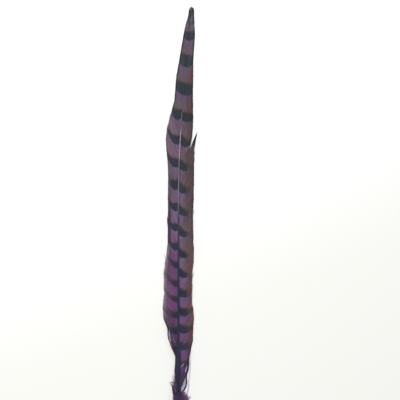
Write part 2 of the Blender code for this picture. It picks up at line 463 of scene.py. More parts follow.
# %% [markdown]
# ## Ribbons
#
# A barb is a long thin blade. Hair curves would be the quick way to draw hundreds of them, but hair
# isn't a mesh and is lost when the model leaves this file. So each barb is a closed ribbon with a
# diamond section: two slopes above that meet in a ridge, and two below. Many ribbons are built at
# once from arrays, which keeps the making fast.
#
# Each ribbon also gets a place on a flat map, one narrow column per barb, so that its colours can be
# painted into a picture later.

# %% Meshes from arrays
UP = np.array([0.0, 0.0, 1.0])
SOFT_CORNER = np.radians(80)


def unit(vectors):
    return vectors / np.linalg.norm(vectors, axis=-1, keepdims=True)


def make_mesh(name, points, faces, map_places, numbers):
    """A mesh object from millimetres. numbers are stored on the points, by name."""
    mesh = bpy.data.meshes.new(name)
    mesh.from_pydata((points * MM).tolist(), [], faces)
    mesh.shade_smooth()
    mesh.set_sharp_from_angle(angle=SOFT_CORNER)
    layer = mesh.uv_layers.new(name="OFBake")
    layer.data.foreach_set("uv", np.asarray(map_places, np.float32).ravel())
    for key, values in numbers.items():
        stored = mesh.attributes.new(key, "FLOAT", "POINT")
        stored.data.foreach_set("value", np.asarray(values, np.float32).ravel())
    return link(bpy.data.objects.new(name, mesh))


print("ridges blunter than this are shaded smooth, degrees:", round(np.degrees(SOFT_CORNER)))

# %% Ribbon maker
RIBBON_COLUMN = np.array([0.1, 0.5, 0.9, 0.5])  # the blade's four corners across its map column
MAP_LOW, MAP_HIGH = 0.03, 0.97
CAP_SPREAD = np.array([0.01, 0.02])  # gives the end caps an area of their own on the map


def ribbon_map(faces, count, steps):
    """Each ribbon is one column of the map.

    Its underside shares the column with its upper side, because both carry the same colours.
    """
    map_x = (np.arange(count)[:, None, None] + RIBBON_COLUMN) / count + np.zeros((1, steps, 1))
    map_y = np.linspace(MAP_LOW, MAP_HIGH, steps)[None, :, None] + np.zeros((count, 1, 4))
    on_map = np.stack([map_x, map_y], axis=-1).reshape(-1, 2)[faces]
    on_map[-2 * count : -count, [1, 3], 1] -= CAP_SPREAD[::-1]
    on_map[-count:, [1, 3], 1] += CAP_SPREAD
    return on_map


def make_ribbons(name, paths, half_widths, half_heights, numbers):
    """Closed ribbons along paths[ribbon, step]. Each number is given per ribbon and step."""
    count, steps = paths.shape[:2]
    ahead = unit(np.gradient(paths, axis=1))
    sideways = unit(np.cross(ahead, UP))
    above = np.cross(sideways, ahead)
    wide = sideways * half_widths[..., None]
    high = above * half_heights[..., None]
    points = np.stack([paths - wide, paths + high, paths + wide, paths - high], axis=2)

    first = np.arange(count)[:, None, None] * steps * 4
    here = first + np.arange(steps - 1)[None, :, None] * 4
    corner = np.arange(4)
    following = (corner + 1) % 4
    sides = np.stack([here + corner, here + following, here + 4 + following, here + 4 + corner], -1)
    start_caps = first[:, :, 0] + np.array([0, 3, 2, 1])
    end_caps = first[:, :, 0] + (steps - 1) * 4 + np.array([0, 1, 2, 3])
    faces = np.concatenate([sides.reshape(-1, 4), start_caps, end_caps])
    spread = {key: np.repeat(value[..., None], 4, axis=2) for key, value in numbers.items()}
    on_map = ribbon_map(faces, count, steps)
    made = make_mesh(name, points.reshape(-1, 3), faces.tolist(), on_map, spread)
    print(name, "ribbons:", count, "triangles:", 2 * len(faces))
    return made

# %% [markdown]
# ## The shaft's sizes
#
# The quill is a bare tube of horn. Above it the shaft is filled with pith, almost square in section
# with rounded corners and a shallow groove below, and it thins all the way to the tip. A curve with
# a round bevel would be quicker, but it can't turn square or carry a groove. So the shaft is lofted
# from rings, and this cell says how wide and high each ring is. The quill's end is rounded off with
# a small dimple, where the feather was fed while it grew.

# %% Shaft sizes
QUILL_WIDTH, QUILL_HEIGHT_SHARE, QUILL_TOP = 3.3, 0.92, 42
QUILL_ROUNDING, QUILL_END_SHARE = 11, 0.42
SHAFT_END, SHAFT_END_WIDTH, SHAFT_END_HEIGHT = 346, 0.3, 0.55
SHAFT_SIDES, SHAFT_RINGS = 28, 240
SHAFT_DRIFT = (
    (0, 0), (110, 0), (165, 0), (200, -0.15), (225, -0.25), (265, -0.2), (300, 0), (346, 0),
)


def shaft_size(station):
    """Width and height of the shaft."""
    taper = np.clip((station - QUILL_TOP) / (SHAFT_END - QUILL_TOP), 0, 1)
    u = np.clip(1 - station / QUILL_ROUNDING, 0, 1)
    rounding = mix(QUILL_END_SHARE, 1, np.sqrt(1 - u * u))
    width = mix(QUILL_WIDTH, SHAFT_END_WIDTH, taper) * rounding
    height = mix(QUILL_WIDTH * QUILL_HEIGHT_SHARE, SHAFT_END_HEIGHT, taper) * rounding
    return width, height


def shaft_x(station):
    """The shaft drifts a little to the left of the centre line where it thins."""
    return centre_x(station) + through(SHAFT_DRIFT, station)


print("shaft width at quill and middle, mm:", shaft_size(30.0)[0], shaft_size(175.0)[0].round(2))

# %% [markdown]
# ## How a barb lies
#
# A barb leaves the shaft at an angle, bows towards the tip and ends on the vane's edge. Low on the
# feather barbs stand well out from the shaft, and higher up they lie almost along it. The vane they
# form swells a little beside the shaft and sinks to the table at its edge.
#
# One barb could be modelled and copied, but each copy would have to be bent and stretched to meet
# the outline. So the function below places any point of any barb from two numbers: the station of
# its root, and the share of the way from root to tip. Both vanes use it.

# %% Barb placing
FIRST_ROOT, LAST_ROOT = 41.0, 338.0
REACH = ((36, 13), (50, 14.5), (100, 15), (150, 23), (205, 33), (290, 30), (338, 12))
BARB_BOW, BARB_SWEEP = 0.35, 0.2
BARBS_BOW_ABOVE = (36, 58)
FULL_HALF_WIDTH = 12
VANE_CROWN = 0.55
# How high up the shaft the barbs grow, as a share of its height: low on the feather and high on it
ROOT_SHARE = {LEFT: (0.86, 0.84), RIGHT: (0.86, 1.0)}
ROOTS_CLIMB = (200, 232)
EDGE_REST, EDGE_WAVE, EDGE_WAVE_LENGTH = 0.2, 0.8, 58


def root_height(side, station):
    """Height at which the vanes grow from the shaft."""
    share = mix(*ROOT_SHARE[side], ease(station, *ROOTS_CLIMB))
    return underside(station) + share * shaft_size(station)[1]


def lay_barbs(side, root, share, length=1.0):
    """Points of barbs, as x, station and z, for roots and shares that may be arrays."""
    reach = through(REACH, root)
    edge = through(EDGE[side], root + reach)
    fullness = edge / FULL_HALF_WIDTH
    bow = BARB_BOW * ease(root, *BARBS_BOW_ABOVE)
    spread = share * (1 + bow * (1 - share)) * length
    rise = share * (1 - BARB_SWEEP * (1 - share)) * length
    station = root + reach * rise
    wave = np.clip(np.sin(2 * np.pi * station / EDGE_WAVE_LENGTH + side), 0, None)
    edge_height = EDGE_REST + EDGE_WAVE * wave * fullness
    z = mix(root_height(side, root), edge_height, share**3)
    z = z + VANE_CROWN * np.sin(np.pi * share) * fullness
    return centre_x(station) + side * edge * spread, station, z


print("a barb rooted half way reaches on along the shaft for, mm:", through(REACH, 175.0).round(1))

# %% [markdown]
# ## Where the bars are
#
# The bars aren't painted on. Each barb grew dark on some days and light on others, so the bars cross
# the barbs on a slant. On the left vane they sweep up towards the edge and thin out there. On the
# right vane they are half moons that hang from the shaft and leave the margin brown, except near the
# tip, where they cross the whole vane. They come closer together towards the quill.
#
# An image of the bars would be the quick way, but it would be one flat picture with a fixed
# sharpness. Here a short list says where each bar crosses the shaft and how thick it is there.

# %% Places of the bars
# Near the tip a bar crosses both vanes in one piece. Counted from the centre line to the right:
# (upper border, its rise per mm, lower border at its lowest, place of that, its roundness)
# The topmost bar runs off the tip, so its upper border is set beyond the feather's end.
TIP_BARS = (
    (400.0, 0.0, 334.3, 1.2, 0.35),
    (329.6, -0.05, 322.0, 1.2, 0.13),
    (311.0, -0.26, 300.7, 0.9, 0.11),
    (288.6, -0.33, 278.2, 2.3, 0.065),
)
# (station of a bar's middle beside the shaft, half its thickness there), from the tip down
BARS = {
    LEFT: (
        (263, 4.0), (242.7, 3.5), (224.3, 3.5), (206.6, 3.9), (189, 3.2), (172.7, 3.0),
        (157.3, 2.9), (142.7, 2.5), (127.5, 2.7), (115, 2.4), (102.5, 2.6), (90, 2.6), (73, 4.5),
    ),
    RIGHT: (
        (261.2, 3.7), (241.3, 4.0), (222.0, 3.8), (203.9, 3.8), (185.9, 3.7), (168.9, 3.6),
        (151.8, 3.4), (136.0, 3.3), (120.5, 3.4), (105.6, 3.4), (91.6, 3.3), (78, 3.1),
        (64, 2.6), (45.5, 7.5),
    ),
}
print("bars on the left and on the right:", len(BARS[LEFT]), len(BARS[RIGHT]))

# %% [markdown]
# ## How a bar is shaped
#
# A bar has an upper and a lower border, and each is a curve over the distance from the centre line.
# Thirty outlines drawn by hand would all differ by accident. The bars of one vane are alike and
# change slowly along it, so a formula serves them all: it takes the bar's middle, which says how far
# that change has come, and half its thickness. Each pair in `mix` is one end of the change and the
# other, and the step beside it says between which stations it happens.

# %% Borders of a bar
def left_bar_borders(across, middle, half):
    """A left bar sweeps up towards the edge and thins. The higher ones hook up close to it."""
    sweep = mix(0.042, 0.072, ease(middle, 232, 215)) * mix(0.35, 1, ease(middle, 98, 124))
    rise = sweep * across**2
    thinning = half * mix(0.55, 0.3, ease(middle, 225, 160)) * (across / 9) ** 2
    # Higher up both borders stay flat at first, and then they turn up
    hook = mix(0.26, 0.13, ease(middle, 195, 235))
    turning = 0.022 * across**2 + hook * np.clip(across - 5, 0, None) ** 2
    flat = mix(3.0, 4.2, ease(middle, 206, 224))
    hooked = 0.44 * np.clip(across - flat, 0, None) ** 1.7
    top = mix(rise - 0.3 * thinning, turning, ease(middle, 142, 160))
    bottom = mix(rise + 1.35 * thinning, hooked, ease(middle, 128, 150))
    # Close to the shaft a bar runs up along it a little, and its lower border draws in
    at_shaft = half * (1 - 0.28 * np.clip(1 - across / 2.6, 0, 1) ** 2)
    return middle + half + top + 0.8 * np.exp(-across / 0.9), middle - at_shaft + bottom


def right_bar_borders(across, middle, half):
    """A right bar is a half moon that hangs from the shaft. Near the tip it is flatter."""
    near_tip, near_quill = ease(middle, 246, 256), ease(middle, 135, 115)
    start = mix(mix(1.6, 1.15, near_quill), 1.1, near_tip)
    slope = mix(mix(0.27, 0.12, near_quill), 0.06, near_tip)
    upper = middle + half * (start - slope * across + 0.008 * across**2 * (1 - near_tip))
    roundness = 0.030 * mix(1, 0.5, near_tip)
    lower = middle - half * (1.1 - roundness * (across - 4.4) ** 2)
    return upper, lower


def tip_bar_borders(side, across, top, rise, bottom, lowest, roundness):
    """A tip bar crosses both vanes: a straight upper border over a rounded lower one."""
    to_right = side * across
    return top + rise * to_right, bottom + roundness * (to_right - lowest) ** 2


BAR_BORDERS = {LEFT: left_bar_borders, RIGHT: right_bar_borders}
example_top, example_foot = right_bar_borders(4.4, *BARS[RIGHT][4])
print("thickness of a bar at the middle of the right vane, mm:", (example_top - example_foot).round(1))

# %% [markdown]
# ## Three numbers for every point
#
# Nodes can't search a list for the nearest bar, but array code can. So every point of a vane gets
# three numbers that change smoothly: how many millimetres it lies above the upper border of the
# nearest bar, how many it lies below the lower border, and how far it is on the way from the bar
# above to the bar below. Nodes turn the first two into bars whose borders have a softness of their
# own, and the third into a change of tint between the bars.

# %% Bar numbers
NEAR_BAR = (-1.8, 4.0)
FAR_AWAY = 1000.0


def bar_numbers(side, across, station):
    """Millimetres above the nearest bar's upper border, below its lower one, and the way between.

    The first two are cut off beyond NEAR_BAR, so that they change gently half way between two bars.
    The third is 0 at the bar above and 1 at the bar below.
    """
    borders = [tip_bar_borders(side, across, *bar) for bar in TIP_BARS]
    borders += [BAR_BORDERS[side](across, middle, half) for middle, half in BARS[side]]
    upper, lower = np.array(borders).transpose(1, 0, 2, 3)
    above, below = station - upper, lower - station
    nearest = np.maximum(above, below).argmin(axis=0)[None]
    under_one = np.where(below > 0, below, FAR_AWAY).min(axis=0)
    over_next = np.where(above > 0, above, FAR_AWAY).min(axis=0)
    return {
        "above": np.take_along_axis(above, nearest, 0)[0].clip(*NEAR_BAR),
        "below": np.take_along_axis(below, nearest, 0)[0].clip(*NEAR_BAR),
        "cycle": under_one / (under_one + over_next),
    }


def bar_strength(side, across, station):
    """How dark the bars are, from 0 to 1: they fade towards the margins, each vane in its own way."""
    if side == LEFT:
        low = 0.6 * ease(across, 3.6, 8.0) * ease(station, 165, 145)
        middle = 0.6 * ease(across, 5.6, 7.6) * within(station, 145, 165, 214, 222)
        high = 0.12 * ease(across, 6.5, 9.5) * ease(station, 214, 222)
        return 1 - low - middle - high
    low = 0.45 * ease(across, 5.5, 9.0) * ease(station, 115, 100)
    middle = 0.8 * ease(across, 5.2, 8.6) * within(station, 100, 115, 232, 242)
    return 1 - low - middle


right_strength = bar_strength(RIGHT, np.array([0, 6, 9]), 180)
print("strength of a right bar at 0, 6 and 9 mm from the shaft:", right_strength.round(2))

# %% [markdown]
# ## Making the shaft
#
# Ring after ring of a rounded section, each with the width and height that the sizes above give,
# makes a closed tube of horn. A cone stretched from a primitive would have no groove, no rounded end
# and no bend. The points also carry the bars' numbers, because near the tip the bars run on over the
# thin shaft. On the flat map the tube is rolled out into one strip.

# %% Rings of the shaft
SQUARENESS, SQUARE_ABOVE = 0.88, (30, 70)
# The groove below: its depth as a share of the height, half its width as a share of the shaft's
GROOVE_DEPTH, GROOVE_HALF_WIDTH, GROOVED_ABOVE = 0.16, 0.28, (60, 110)


def shaft_rings(station):
    """Rings of points: round on the quill, almost square with a groove below further up."""
    width, height = (size[:, None] for size in shaft_size(station))
    station = station[:, None]
    angle = np.linspace(0, 2 * np.pi, SHAFT_SIDES, endpoint=False)[None, :] - np.pi / 2
    squareness = mix(1.0, SQUARENESS, ease(station, *SQUARE_ABOVE))
    across = np.sign(np.cos(angle)) * np.abs(np.cos(angle)) ** squareness
    upwards = np.sign(np.sin(angle)) * np.abs(np.sin(angle)) ** squareness
    hollow = GROOVE_DEPTH * ease(station, *GROOVED_ABOVE)
    groove = hollow * np.exp(-((across / GROOVE_HALF_WIDTH) ** 2)) * (upwards < 0)
    x = shaft_x(station) + across * width / 2
    z = underside(station) + (1 + upwards + 2 * groove) * height / 2
    return place(x, station, z)


def shaft_map(count):
    """Places on the flat map for the corners of the sides and then of the fans at the two ends."""
    side = np.arange(SHAFT_SIDES)
    low = np.linspace(MAP_LOW, MAP_HIGH, count)
    sides = np.zeros((count - 1, SHAFT_SIDES, 4, 2))
    sides[..., 0] = np.stack([side, side + 1, side + 1, side], -1) / SHAFT_SIDES
    sides[..., 1] = np.stack([low[:-1], low[:-1], low[1:], low[1:]], -1)[:, None]
    fans = np.zeros((2, SHAFT_SIDES, 3, 2))
    fans[0, ..., 0] = np.stack([side + 0.5, side + 1, side], -1) / SHAFT_SIDES
    fans[1, ..., 0] = np.stack([side + 0.5, side, side + 1], -1) / SHAFT_SIDES
    fans[0, ..., 1] = (0.0, MAP_LOW, MAP_LOW)
    fans[1, ..., 1] = (1.0, MAP_HIGH, MAP_HIGH)
    return np.concatenate([sides.reshape(-1, 2), fans.reshape(-1, 2)])


example_ring = shaft_rings(np.array([175.0]))[0]
print("height of the ring half way, mm:", np.ptp(example_ring[:, 2]).round(2))

# %% Shaft
QUILL_END_RINGS = np.array([0, 0.015, 0.06, 0.13, 0.22, 0.35, 0.5, 0.7])  # shares of the rounding
DIMPLE_DEPTH = 1.1
TIP_POINT = (0.05, 0.5, 0)


def make_shaft():
    upper_rings = np.linspace(QUILL_ROUNDING, SHAFT_END, SHAFT_RINGS)
    station = np.concatenate([QUILL_ROUNDING * QUILL_END_RINGS, upper_rings])
    rings = shaft_rings(station)
    ends = [rings[0].mean(0) + (0, DIMPLE_DEPTH, 0), rings[-1].mean(0) + TIP_POINT]
    points = np.concatenate([rings.reshape(-1, 3), ends])

    grid = np.arange(len(station) * SHAFT_SIDES).reshape(-1, SHAFT_SIDES)
    near, far = grid[:-1], grid[1:]
    sides = np.stack([near, np.roll(near, -1, 1), np.roll(far, -1, 1), far], -1).reshape(-1, 4)
    first, last = grid[0].tolist(), grid[-1].tolist()
    dimple, tip = len(points) - 2, len(points) - 1
    faces = sides.tolist()
    faces += [(dimple, b, a) for a, b in zip(first, first[1:] + first[:1])]
    faces += [(tip, a, b) for a, b in zip(last, last[1:] + last[:1])]

    stations = np.concatenate([np.repeat(station, SHAFT_SIDES), [0, SHAFT_END]])
    numbers = {"station": stations, **bar_numbers(LEFT, np.zeros((1, 1)), stations[None, :])}
    return make_mesh("shaft", points, faces, shaft_map(len(station)), numbers)


shaft = make_shaft()
print("faces of the shaft:", len(shaft.data.polygons))

# %% [markdown]
# ## Partings
#
# Hooks too small to see hold neighbouring barbs together, so a vane looks like one sheet until
# something pulls it apart. Then it parts along the barbs, into locks. Cutting slits into a sheet
# would leave square ends, so here the barbs themselves are pushed aside. Each parting is a root
# station, the shares of the barbs between which it stays open, and a width. Barbs beside it move
# most, and those further off hardly at all. A few partings are listed one by one, where the real
# feather shows them, and many hairline ones come from a seeded random choice.

# %% Partings in the vanes
PARTING_REACH = (1.2, 0.8)  # how far from a parting the barbs still move: a length, and per width
ALWAYS_OPEN = 2.0  # a closing share past the tip: the parting runs out through the edge

# (root station, share where it opens, share where it closes, width at its widest)
PARTINGS = {
    LEFT: (
        (76.0, 0.54, 0.96, 2.4), (78.5, 0.12, 0.52, 1.6),
        (92.0, 0.86, ALWAYS_OPEN, 2.0), (131.5, 0.85, ALWAYS_OPEN, 1.6),
    ),
    RIGHT: (
        (50.6, 0.5, 0.92, 1.4), (59.2, 0.14, 0.42, 1.6),
        (153.0, 0.88, ALWAYS_OPEN, 1.4),
    ),
}
HAIRLINES_FROM, HAIRLINES_TO = 70.0, LAST_ROOT - 6
HAIRLINE_GAPS, HAIRLINE_STARTS, HAIRLINE_WIDTHS = (4, 13), (0.6, 0.97), (0.1, 0.8)


def hairline_partings(chance):
    """Fine partings a few millimetres apart, most of them only at the vane's edge."""
    found = []
    root = HAIRLINES_FROM
    while root < HAIRLINES_TO:
        opens, width = chance.uniform(*HAIRLINE_STARTS), chance.uniform(*HAIRLINE_WIDTHS)
        found.append((root, opens, ALWAYS_OPEN, width))
        root += chance.uniform(*HAIRLINE_GAPS)
    return found


def parting_shift(partings, root, share):
    """How far each point of each barb is pushed along the shaft by the partings."""
    shift = np.zeros(np.broadcast_shapes(root.shape, share.shape))
    for where, opens, closes, width in partings:
        if closes == ALWAYS_OPEN:
            opening = ease(share, opens, 1.0) ** 1.5
        else:
            u = np.clip((share - opens) / (closes - opens), 0, 1)
            opening = np.sin(np.pi * u) ** 2
        apart = root - where
        reach = PARTING_REACH[0] + PARTING_REACH[1] * width
        shift += np.sign(apart) * np.exp(-np.abs(apart) / reach) * opening * width / 2
    return shift


print("partings placed by hand:", len(PARTINGS[LEFT]) + len(PARTINGS[RIGHT]))

# %% [markdown]
# ## The vanes
#
# A flat sheet with a pattern of lines would look right only from straight above and from far off.
# Here every barb is a ribbon of its own, rooted half a millimetre from the next. The ribbons are a
# little wider than the gap between them, so that they overlap like tiles and no light comes through.
# Their lengths differ by a hair and their free ends come to a point, which keeps the edge from
# looking cut. Every point also carries the numbers that the finish needs.

# %% Vane barbs
BARB_GAP = 0.5
BARB_STEPS = 20
OVERLAP = 1.3
BARB_HALF_HEIGHT = 0.06
BARB_HALF_WIDTHS = (0.09, 0.4)
BARB_POINT = (0.88, 1.02)  # the shares of a barb between which it narrows to its point
LENGTH_CHANCE = 0.006
TOOTH_DEPTH, TOOTH_LENGTH = 0.012, 8.5  # the edge's soft teeth: a share of a barb, and millimetres
RIPPLE, RIPPLE_TURN = 0.10, 0.86  # height in millimetres, and radians per millimetre of root
SMALL_RIPPLE, SMALL_RIPPLE_TURN = 0.07, 2.17
TILE_STEP = 0.012  # every second barb lies this much higher
BARBS_LOWEST = 0.12


def gap_to_next(x, station, next_x, next_station):
    """The distance between a barb and the next one, square to the barb."""
    along_x, along_station = np.gradient(x, axis=1), np.gradient(station, axis=1)
    span = np.hypot(along_x, along_station)
    return np.abs((next_x - x) * along_station - (next_station - station) * along_x) / span


def make_vane(name, side, seed):
    chance = np.random.default_rng(seed)
    root = np.arange(FIRST_ROOT, LAST_ROOT, BARB_GAP)[:, None]
    share = np.linspace(0, 1, BARB_STEPS)[None, :]
    count = len(root)
    length = 1 + chance.normal(0, LENGTH_CHANCE, (count, 1))
    length = length - TOOTH_DEPTH * np.abs(np.sin(root * np.pi / TOOTH_LENGTH))
    x, station, z = lay_barbs(side, root, share, length)

    next_x, next_station, _ = lay_barbs(side, root + BARB_GAP, share)
    gap = gap_to_next(x, station, next_x, next_station)
    point = np.sqrt(1 - ease(share, *BARB_POINT) ** 2)
    half_width = np.clip(gap * OVERLAP / 2, *BARB_HALF_WIDTHS) * point
    half_height = BARB_HALF_HEIGHT * point * np.ones_like(gap)

    partings = list(PARTINGS[side]) + hairline_partings(chance)
    station = station + parting_shift(partings, root, share)
    ripple = RIPPLE * np.sin(root * RIPPLE_TURN + side)
    ripple = ripple + SMALL_RIPPLE * np.sin(root * SMALL_RIPPLE_TURN)
    tile = TILE_STEP * (np.arange(count)[:, None] % 2)
    z = z + ripple * share**2 * (1 - 0.5 * share) + tile
    z = np.maximum(z, BARBS_LOWEST)

    across = np.abs(x - centre_x(station))
    numbers = bar_numbers(side, across, station) | {
        "station": station,
        "across": across,
        "inset": through(EDGE[side], station) - across,
        "root": root * np.ones_like(share),
        "share": share * np.ones_like(root),
        "tone": chance.normal(0, 1, (count, 1)) * np.ones_like(share),
        "strength": bar_strength(side, across, station),
    }
    return make_ribbons(name, place(x, station, z), half_width, half_height, numbers)


left_vane = make_vane("left_vane", LEFT, seed=11)
right_vane = make_vane("right_vane", RIGHT, seed=12)

# %% [markdown]
# ## The finish of a barb
#
# A barb is dull with a faint silky sheen. No two took up quite the same pigment and dye, so streaky
# noise runs along the barbs: its first coordinate is the root station, which is the same all along a
# barb, and its second is the share, scaled to change slowly. One broad, one fine and one flecked
# noise are added up, with a tone of each barb's own. Blotches ignore the barbs, because dye pools
# where it likes. Close to the tip the barbs turn mottled.

# %% Noise on the vanes
BARB_GLOSS, BARB_ROUGHNESS = 0.16, 0.55
BARB_BUMP = (0.25, 0.03)  # how strong, and how high in millimetres
MOTTLED_ABOVE = (331, 335.5)


def read_vane(tree):
    """The vane's stored numbers, with its noises added to them."""
    at = stored_numbers(
        tree, "station", "across", "inset", "root", "share", "tone", "above", "below", "cycle",
        "strength",
    )
    broad = noise(tree, at.root * 0.22, at.share * 1.2, detail=3.0)
    at.fine = noise(tree, at.root * 1.1, at.share * 1.6)
    at.flecks = noise(tree, at.root * 0.8, at.share * 4.5)
    at.streaks = broad * 0.5 + at.fine * 0.85 + at.flecks * 0.75 + at.tone * 0.22
    at.blotch = noise(tree, at.station * 0.23, at.across * 0.33)
    at.mottled = (at.station - at.across).ease(*MOTTLED_ABOVE)
    at.mottles = noise(tree, at.root * 0.9, at.share * 1.4, detail=1.0) * at.mottled
    return at


def barb_relief(tree, at, across=8.0, along=90.0):
    """A fine grain along each barb, for the bump."""
    return noise(tree, at.root * across, at.share * along)


print("length of the mottled tip, mm:", round(LENGTH - MOTTLED_ABOVE[0]))

# %% [markdown]
# ## The dyed ground
#
# Between the bars the feather was brown before it was dyed. The dye took best low down and beside
# the shaft, so the ground is purple and lilac there, dull mauve in the middle, and still brown at the
# right margin and grey brown near the tip. Painting that by hand would tie it to one mesh. Here each
# vane has two ramps of a few named tones that run along the feather, one for its inner part and one
# for its margin, and a soft line parts the two.

# %% Tones of the ground
PLUM, PURPLE, ORCHID = seen(76, 60, 84), seen(87, 68, 91), seen(104, 75, 107)
VIOLET, LILAC, MAUVE = seen(108, 82, 117), seen(117, 95, 125), seen(111, 91, 113)
ROSE_GREY, TAUPE = seen(119, 98, 112), seen(102, 87, 98)
RUSSET, BROWN = seen(107, 81, 88), seen(100, 76, 81)
WARM_GREY, DARK_BROWN = seen(101, 83, 86), seen(92, 75, 79)
PINKISH, GREENISH = (1.12, 0.94, 1.03, 1), (0.90, 1.06, 0.97, 1)

# (station, colour) beside the shaft and at the margin
GROUND = {
    LEFT: {
        "inner": (
            (82, PLUM), (92, PURPLE), (116, ORCHID), (142, ORCHID), (166, LILAC), (182, LILAC),
            (200, MAUVE), (248, MAUVE), (274, TAUPE), (332, TAUPE),
        ),
        "outer": (
            (92, PURPLE), (106, ORCHID), (126, ORCHID), (142, PURPLE), (160, PLUM), (180, PLUM),
            (212, TAUPE), (226, ROSE_GREY), (257, ROSE_GREY), (270, TAUPE),
        ),
    },
    RIGHT: {
        "inner": (
            (55, PLUM), (68, ORCHID), (84, ORCHID), (98, VIOLET), (116, VIOLET), (140, MAUVE),
            (200, MAUVE), (232, TAUPE),
        ),
        "outer": (
            (60, PLUM), (84, BROWN), (98, RUSSET), (112, RUSSET), (130, BROWN), (165, WARM_GREY),
            (202, DARK_BROWN), (275, DARK_BROWN), (296, BROWN), (312, TAUPE),
        ),
    },
}
print("stops of the four ramps:", [len(stops) for vane in GROUND.values() for stops in vane.values()])

# %% Inner part and margin
# The step from the inner part to the margin, in distance from the centre line
MARGIN = {LEFT: (4.6, 8.2), RIGHT: (2.4, 6.8)}
LEFT_SHARP = (138, 155, 206, 224)  # the left margin starts abruptly here
RIGHT_NARROW_ABOVE, RIGHT_WIDE_BELOW = (255, 275), (125, 78)
REACHES_OUT_BELOW, FURTHER_ABOVE = (146, 136), (76, 88)
UNDER_A_BAR = (0.55, 0.2)
BLOTCHES = (-0.45, 0.45)


def vane_margin(side, at):
    """0 on the inner part of a vane, 1 on its margin."""
    start, end = MARGIN[side]
    if side == LEFT:
        sharp = at.station.within(*LEFT_SHARP)
        return at.across.ease(start + sharp * 0.5, end - sharp * 1.4)
    # The right vane's inner part is narrow near the tip and wide at the foot. Low down it also
    # reaches further out below each bar.
    narrow, wide = at.station.ease(*RIGHT_NARROW_ABOVE), at.station.ease(*RIGHT_WIDE_BELOW)
    further = 0.6 + at.station.ease(*FURTHER_ABOVE) * 1.4
    under_bar = at.station.ease(*REACHES_OUT_BELOW) * at.cycle.ease(*UNDER_A_BAR) * further
    moved = at.across - under_bar * (1.0 - wide * 0.6)
    return moved.ease(wide * 3.4 - narrow * 1.4 + start, wide * 1.6 - narrow * 2.8 + end)


def vane_ground(tree, side, at):
    """The dyed ground with its blotches and streaks, before the bars tint it."""
    inner = ramp(tree, at.station, GROUND[side]["inner"])
    outer = ramp(tree, at.station, GROUND[side]["outer"])
    ground = blend_colours(tree, vane_margin(side, at), inner, outer)
    blotches = blend_colours(tree, at.blotch.ease(*BLOTCHES), PINKISH, GREENISH)
    return brightened(tree, multiplied(tree, ground, blotches), 1.0 + at.streaks * 0.5)


print("the margin sets in at, mm from the centre line:", MARGIN[LEFT], MARGIN[RIGHT])

# %% [markdown]
# ## Tints between the bars
#
# From one bar down to the next the ground turns from a cool lilac to a warm grey brown, since the
# pigment changed from day to day. Low on the feather the cool part is pinker on the left vane and
# bluer on the right, and near the tip it is violet. Each bar has a thin olive fringe above it. The
# left vane has three marks of its own low down: magenta patches, a slate strip beside the shaft, and
# a worn pale edge. A second set of ramps could hold all this, but tints that multiply the ground
# follow the bars by themselves.

# %% Tints
COOL, WARM, COOL_TO_WARM = (0.96, 0.97, 1.16, 1), (1.02, 1.02, 0.90, 1), (0.05, 0.75)
COOL_PINK, COOL_BLUE = (1.05, 0.97, 1.07, 1), (0.95, 0.96, 1.24, 1)
LOW_COOL = {LEFT: (COOL_PINK, (200, 170)), RIGHT: (COOL_BLUE, (160, 135))}
COOL_VIOLET, VIOLET_ABOVE = (0.98, 0.94, 1.36, 1), (262, 282)
TIP_GROUND = seen(105, 97, 106)
OLIVE_FRINGE, FRINGE_ABOVE_BAR, FRINGE_BELOW_BAR = (0.80, 0.94, 0.80), (2.6, 0.2), (1.0, -1.0)


def tinted_ground(tree, side, at):
    """The ground, turning from cool to warm between two bars, and grey at the tip."""
    low_cool, low_step = LOW_COOL[side]
    cool = blend_colours(tree, at.station.ease(*low_step), COOL, low_cool)
    cool = blend_colours(tree, at.station.ease(*VIOLET_ABOVE), cool, COOL_VIOLET)
    tint = blend_colours(tree, at.cycle.ease(*COOL_TO_WARM), cool, WARM)
    ground = multiplied(tree, vane_ground(tree, side, at), tint)
    return blend_colours(tree, at.mottled, ground, TIP_GROUND)


def fringed_ground(tree, at, ground):
    """The ground with the olive fringe above each bar."""
    fringe = (at.above + at.streaks * 0.5).ease(*FRINGE_ABOVE_BAR) * at.below.ease(*FRINGE_BELOW_BAR)
    fringe = fringe * (1.0 - at.mottled)
    return blend_colours(tree, fringe, ground, multiplied(tree, ground, OLIVE_FRINGE))


print("blue in the cool and in the warm tint:", COOL[2], WARM[2])

# %% Marks of the left vane
MAGENTA, SLATE, PALE_EDGE = seen(118, 60, 121), seen(88, 82, 108), seen(139, 113, 132)
LEFT_MARKS = (88, 100, 155, 185)
PATCHES_ACROSS, PATCHES_BETWEEN_BARS = (1.6, 3.2, 4.0, 6.6), (0.0, 0.35, 0.6, 1.0)
PATCHES_IN_NOISE = (-0.6, 0.5)
SLATE_BESIDE, SLATE_BELOW = (2.9, 1.6), (153, 142)
WORN_INSET, WORN_STRETCH = (3.5, 1.0), (98, 104, 153, 163)


def left_marks(tree, at, ground):
    """Magenta patches, the slate strip and the worn pale edge."""
    low = at.station.within(*LEFT_MARKS) * 0.8
    patch = at.across.within(*PATCHES_ACROSS) * at.cycle.within(*PATCHES_BETWEEN_BARS)
    patch = patch * (at.fine + at.blotch).ease(*PATCHES_IN_NOISE)
    ground = blend_colours(tree, patch * low, ground, MAGENTA)
    beside_shaft = at.across.ease(*SLATE_BESIDE) * low * at.station.ease(*SLATE_BELOW)
    ground = blend_colours(tree, beside_shaft, ground, SLATE)
    worn = (at.inset + at.streaks * 0.6).ease(*WORN_INSET) * at.station.within(*WORN_STRETCH)
    return blend_colours(tree, worn, ground, PALE_EDGE)


print("the left vane's marks lie between stations", LEFT_MARKS[0], "and", LEFT_MARKS[-1])

